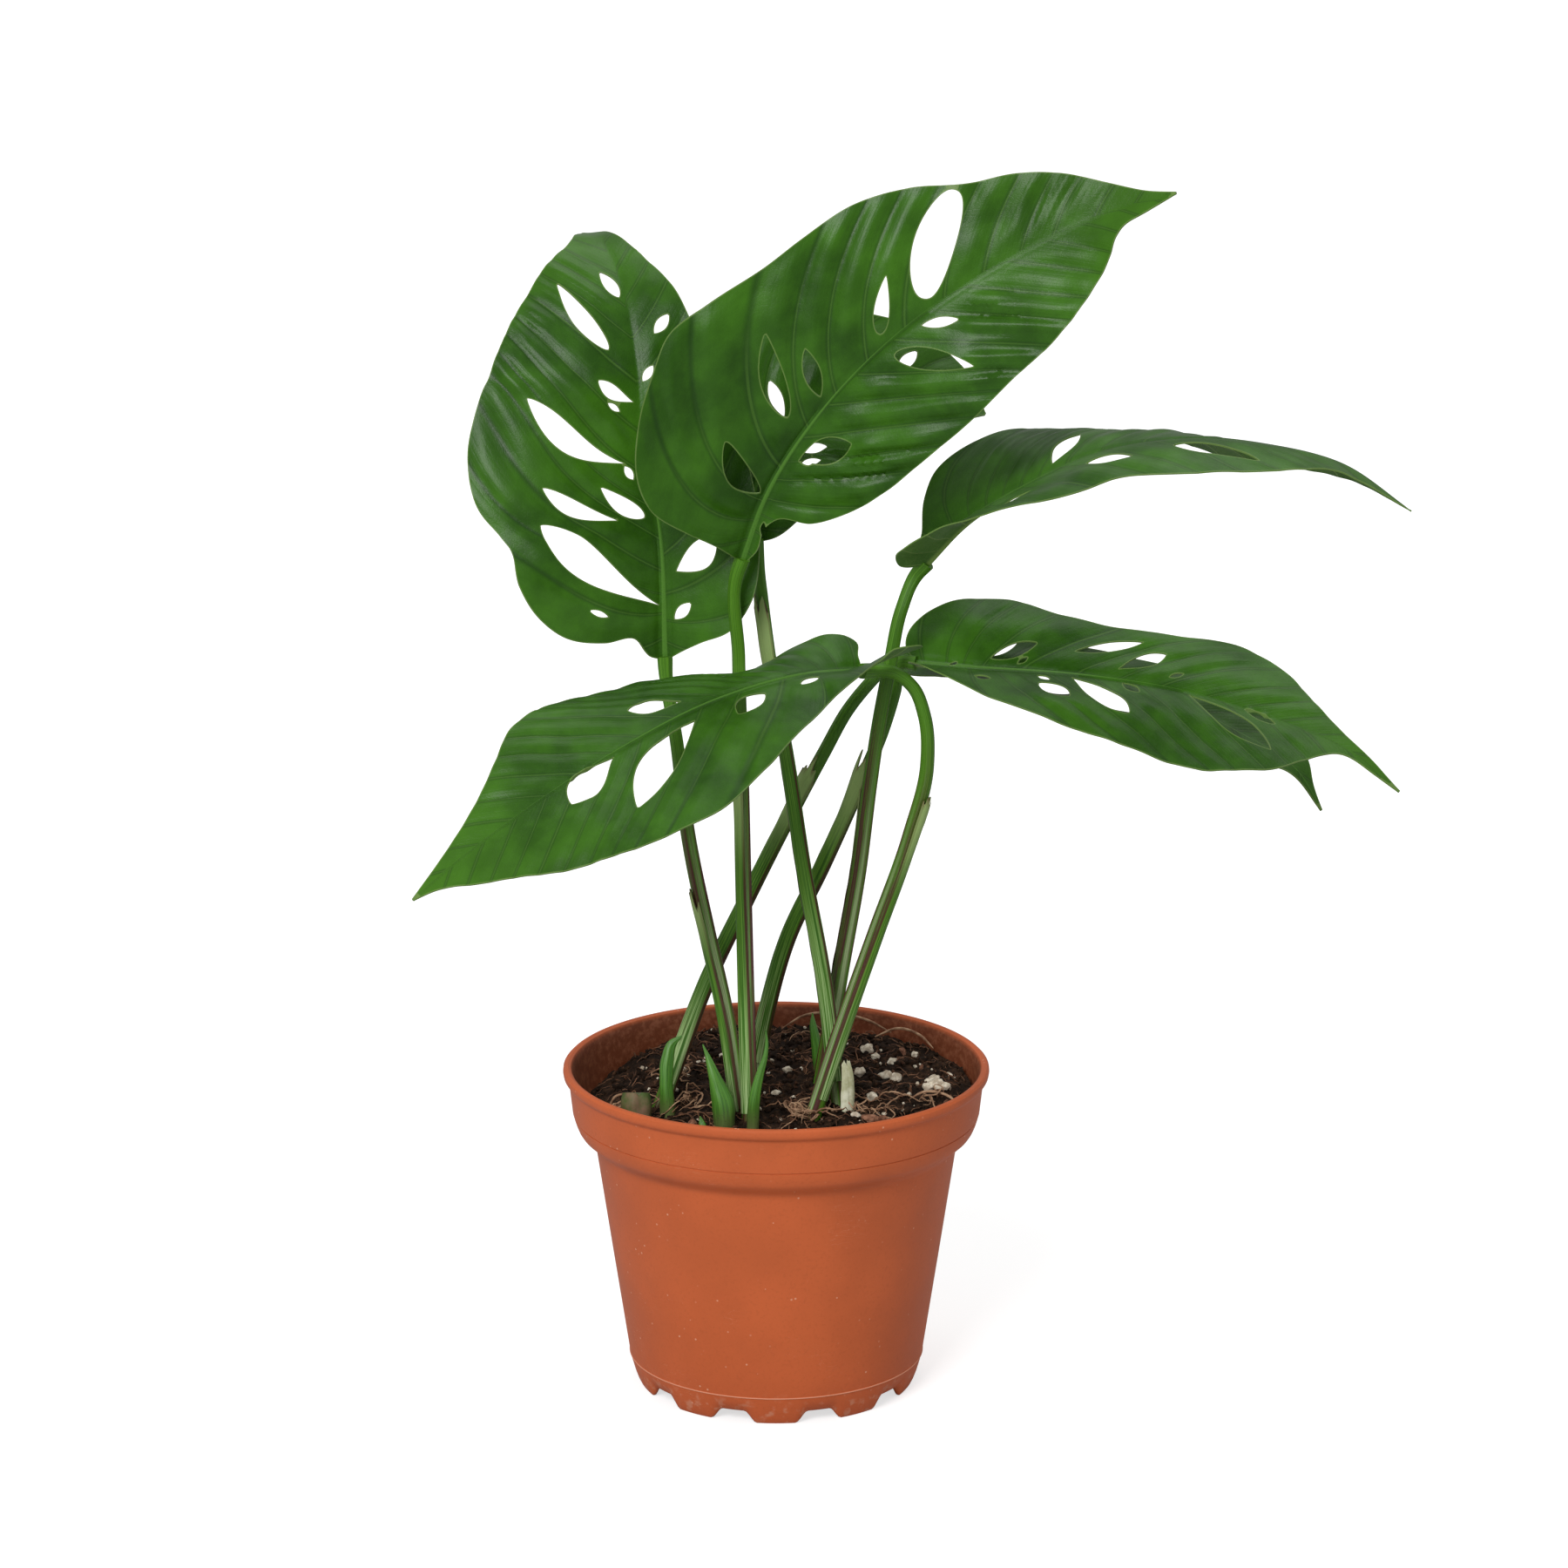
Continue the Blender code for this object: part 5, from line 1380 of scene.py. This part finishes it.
class StalkSettings(bpy.types.PropertyGroup):
    foot_radius: length_setting("Foot radius", "Half the width of a leaf stalk at the soil", 2.9 * MM)
    top_radius: length_setting("Top radius", "Half the width of a leaf stalk at its blade", 2.2 * MM)
    streak_color: color_setting("Streaks", "Colour of the dark streaks on the stalks",
                                (0.075, 0.022, 0.018))


class SoilSettings(bpy.types.PropertyGroup):
    cell: length_setting("Mesh cell", "Width of the surface's triangles", 0.85 * MM)
    crumb_count: count_setting("Crumbs", "Loose crumbs of peat", 1500)
    fibre_count: count_setting("Fibres", "Fine fibres on the soil", 420)
    perlite_count: count_setting("Fine perlite", "Small perlite grains", 60)


class PotSettings(bpy.types.PropertyGroup):
    steps: count_setting("Steps", "Facets round the pot", 320, 24)
    feet: count_setting("Feet", "Feet round the skirt", 10, 3)
    drains: count_setting("Drain holes", "Holes in the floor", 5)
    notch_height: length_setting("Notch height", "How high the skirt lifts between its feet", 4.3 * MM)
    color: color_setting("Plastic", "Colour of the moulded plastic", (0.53, 0.112, 0.033))
    roughness: amount_setting("Roughness", "Roughness of the plastic", 0.52, max=1.0)


class StageSettings(bpy.types.PropertyGroup):
    camera_distance: length_setting("Camera distance", "From the camera to the plant's middle", 2.0, 0.5, 10)
    camera_lens: bpy.props.FloatProperty(name="Lens", description="Focal length", default=130.44, min=10,
                                         subtype="DISTANCE_CAMERA")
    camera_drop: amount_setting("Look down", "How far the camera looks down", radians(15), subtype="ANGLE")
    key_power: amount_setting("Key light", "Power of the main light", 26.0, unit="POWER")
    fill_power: amount_setting("Fill light", "Power of the light at the right", 1.6, unit="POWER")
    top_power: amount_setting("Top light", "Power of the light overhead", 8.0, unit="POWER")
    sky: amount_setting("Surroundings", "Brightness of the white room", 0.42)


# ------------------------------------------------------------------------------------- operators

class MONSTERA_OT_leaves(bpy.types.Operator):
    """Cut, vein and bend the seven leaf blades"""
    bl_idname = "monstera.leaves"
    bl_label = "Leaves"

    def execute(self, context):
        settings = context.scene.monstera_leaves
        finishes = [leaf_upper_finish(settings), leaf_under_finish(settings)]
        for leaf in LEAVES:
            make_blade(leaf, settings, finishes)
        return {"FINISHED"}


class MONSTERA_OT_stalks(bpy.types.Operator):
    """Sweep the seven leaf stalks and the torn sheaths around them"""
    bl_idname = "monstera.stalks"
    bl_label = "Leaf stalks"

    def execute(self, context):
        settings = context.scene.monstera_stalks
        finish = stalk_finish(settings)
        sheath = sheath_finish()
        for leaf in LEAVES:
            make_stalk(leaf, settings, finish)
            make_sheath(leaf, settings, sheath)
        return {"FINISHED"}


class MONSTERA_OT_shoots(bpy.types.Operator):
    """Grow the young shoots, the cut stub and the dry sheath at the soil"""
    bl_idname = "monstera.shoots"
    bl_label = "Shoots"

    def execute(self, context):
        finishes = {
            "shoot": shoot_finish(),
            "cut_stem": plain_finish("cut stem", (0.06, 0.10, 0.02), (0.22, 0.13, 0.08), 130.0, 0.6, 0.5),
            "dry_sheath": plain_finish("dry sheath", (0.40, 0.40, 0.22), (0.72, 0.72, 0.55), 210.0, 0.7, 0.4),
        }
        for name, look in SHOOTS.items():
            make_shoot(name, finishes[look.slot])
        return {"FINISHED"}


class MONSTERA_OT_soil(bpy.types.Operator):
    """Heap the soil and scatter its crumbs and flakes"""
    bl_idname = "monstera.soil"
    bl_label = "Soil"

    def execute(self, context):
        settings = context.scene.monstera_soil
        peat = peat_finish()
        make_soil(settings, peat)
        flakes = peat_finish("peat flakes", (0.05, 0.022, 0.012), (0.22, 0.11, 0.06))
        make_crumbs(settings, peat, flakes)
        return {"FINISHED"}


class MONSTERA_OT_roots(bpy.types.Operator):
    """Lay the fine fibres and the curly roots on the soil"""
    bl_idname = "monstera.roots"
    bl_label = "Fibres and roots"

    def execute(self, context):
        fibre = plain_finish("peat fibre", (0.07, 0.030, 0.016), (0.24, 0.115, 0.06), 300.0, 0.8, 0.1)
        tan = plain_finish("root", (0.20, 0.095, 0.05), (0.48, 0.30, 0.18), 260.0, 0.7, 0.2)
        make_fibres(context.scene.monstera_soil, fibre, tan)
        return {"FINISHED"}


class MONSTERA_OT_grit(bpy.types.Operator):
    """Press the perlite grains and bark chips into the soil"""
    bl_idname = "monstera.grit"
    bl_label = "Perlite and bark"

    def execute(self, context):
        white = plain_finish("perlite", (0.42, 0.34, 0.25), (0.80, 0.72, 0.58), 500.0, 0.9, 0.4)
        brown = plain_finish("bark", (0.11, 0.042, 0.022), (0.36, 0.17, 0.10), 350.0, 0.85, 0.6)
        make_grit(context.scene.monstera_soil, white, brown)
        return {"FINISHED"}


class MONSTERA_OT_pot(bpy.types.Operator):
    """Spin the nursery pot, lift its skirt between the feet and drill its floor"""
    bl_idname = "monstera.pot"
    bl_label = "Pot"

    def execute(self, context):
        settings = context.scene.monstera_pot
        make_pot(settings, pot_finish(settings))
        return {"FINISHED"}


FLOOR_SIZE = 60                     # in metres, as are the lamps' places about the plant's middle
PLANT_MIDDLE = (2.8, 0, 103.1)      # what the camera looks at and the lamps point to
SENSOR_WIDTH = 36


class MONSTERA_OT_stage(bpy.types.Operator):
    """Set the pale floor, the soft lights and the camera"""
    bl_idname = "monstera.stage"
    bl_label = "Stage"

    def execute(self, context):
        settings = context.scene.monstera_stage
        choose()
        bpy.ops.mesh.primitive_plane_add(size=FLOOR_SIZE, location=(0, 0, CAD_BOX[0][2]))
        floor = context.object
        floor.name = "floor"
        pale = Finish("pale floor", roughness=0.9, specular=0.1)
        across = pale.node("ShaderNodeVectorMath", {"operation": "LENGTH"}, {0: pale.place()}, out="Value")
        glow = pale.mix((0.66, 0.66, 0.66), (0.90, 0.90, 0.90), across.between(0.1, 1.3))
        seen = pale.node("ShaderNodeLightPath", out="Is Camera Ray")
        pale.feed(pale.shader.inputs["Emission Color"], pale.mix((0.0, 0.0, 0.0), glow, seen))
        pale.feed(pale.shader.inputs["Emission Strength"], 1.0)
        floor.data.materials.append(pale.finish((0.55, 0.55, 0.55)))
        middle = from_rim(PLANT_MIDDLE)
        for name, offset, size, power in (("key", (-0.6, -1.47, 1.05), 0.75, settings.key_power),
                                          ("fill", (1.5, -0.8, 0.5), 1.3, settings.fill_power),
                                          ("top", (0.25, 0.55, 1.6), 1.2, settings.top_power)):
            lamp = bpy.data.lights.new(name, "AREA")
            lamp.size = size
            lamp.energy = power
            holder = bpy.data.objects.new(name, lamp)
            holder.location = middle + Vector(offset)
            holder.rotation_euler = (-Vector(offset)).to_track_quat("-Z", "Y").to_euler()
            context.scene.collection.objects.link(holder)
        world = bpy.data.worlds.new("white room")
        world.use_nodes = True
        back = world.node_tree.nodes["Background"]
        back.inputs["Color"].default_value = (1, 1, 1, 1)
        back.inputs["Strength"].default_value = settings.sky
        context.scene.world = world
        context.scene.view_settings.view_transform = "Standard"
        eye = bpy.data.cameras.new("camera")
        eye.lens = settings.camera_lens
        eye.sensor_width = SENSOR_WIDTH
        holder = bpy.data.objects.new("camera", eye)
        drop = settings.camera_drop
        holder.location = middle + Vector((0, -cos(drop), sin(drop))) * settings.camera_distance
        holder.rotation_euler = (pi / 2 - drop, 0, 0)
        context.scene.collection.objects.link(holder)
        context.scene.camera = holder
        return {"FINISHED"}


SETTINGS = {"monstera_leaves": LeafSettings, "monstera_stalks": StalkSettings, "monstera_soil": SoilSettings,
            "monstera_pot": PotSettings, "monstera_stage": StageSettings}
OPERATORS = (MONSTERA_OT_pot, MONSTERA_OT_soil, MONSTERA_OT_grit, MONSTERA_OT_roots, MONSTERA_OT_shoots,
             MONSTERA_OT_stalks, MONSTERA_OT_leaves, MONSTERA_OT_stage)


class MONSTERA_PT_panel(bpy.types.Panel):
    """Lists the plant's settings and the steps that build it"""
    bl_idname = "MONSTERA_PT_panel"
    bl_label = "Potted monstera"
    bl_space_type = "VIEW_3D"
    bl_region_type = "UI"
    bl_category = "Monstera"

    def draw(self, context):
        for name, group in SETTINGS.items():
            box = self.layout.box()
            box.label(text=group.__name__.replace("Settings", ""))
            for key in group.__annotations__:
                box.prop(getattr(context.scene, name), key)
        for operator in OPERATORS:
            self.layout.operator(operator.bl_idname)


def register():
    """Makes the settings, the operators and the panel known."""
    for made in (*SETTINGS.values(), *OPERATORS, MONSTERA_PT_panel):
        bpy.utils.register_class(made)
    for name, group in SETTINGS.items():
        setattr(bpy.types.Scene, name, bpy.props.PointerProperty(type=group))


def unregister():
    """Takes them away again."""
    for name in SETTINGS:
        delattr(bpy.types.Scene, name)
    for made in (MONSTERA_PT_panel, *OPERATORS, *SETTINGS.values()):
        bpy.utils.unregister_class(made)


def main():
    """Builds every piece and the stage."""
    register()
    for operator in OPERATORS:
        getattr(bpy.ops.monstera, operator.bl_idname.split(".")[1])()


if __name__ == "__main__":
    main()
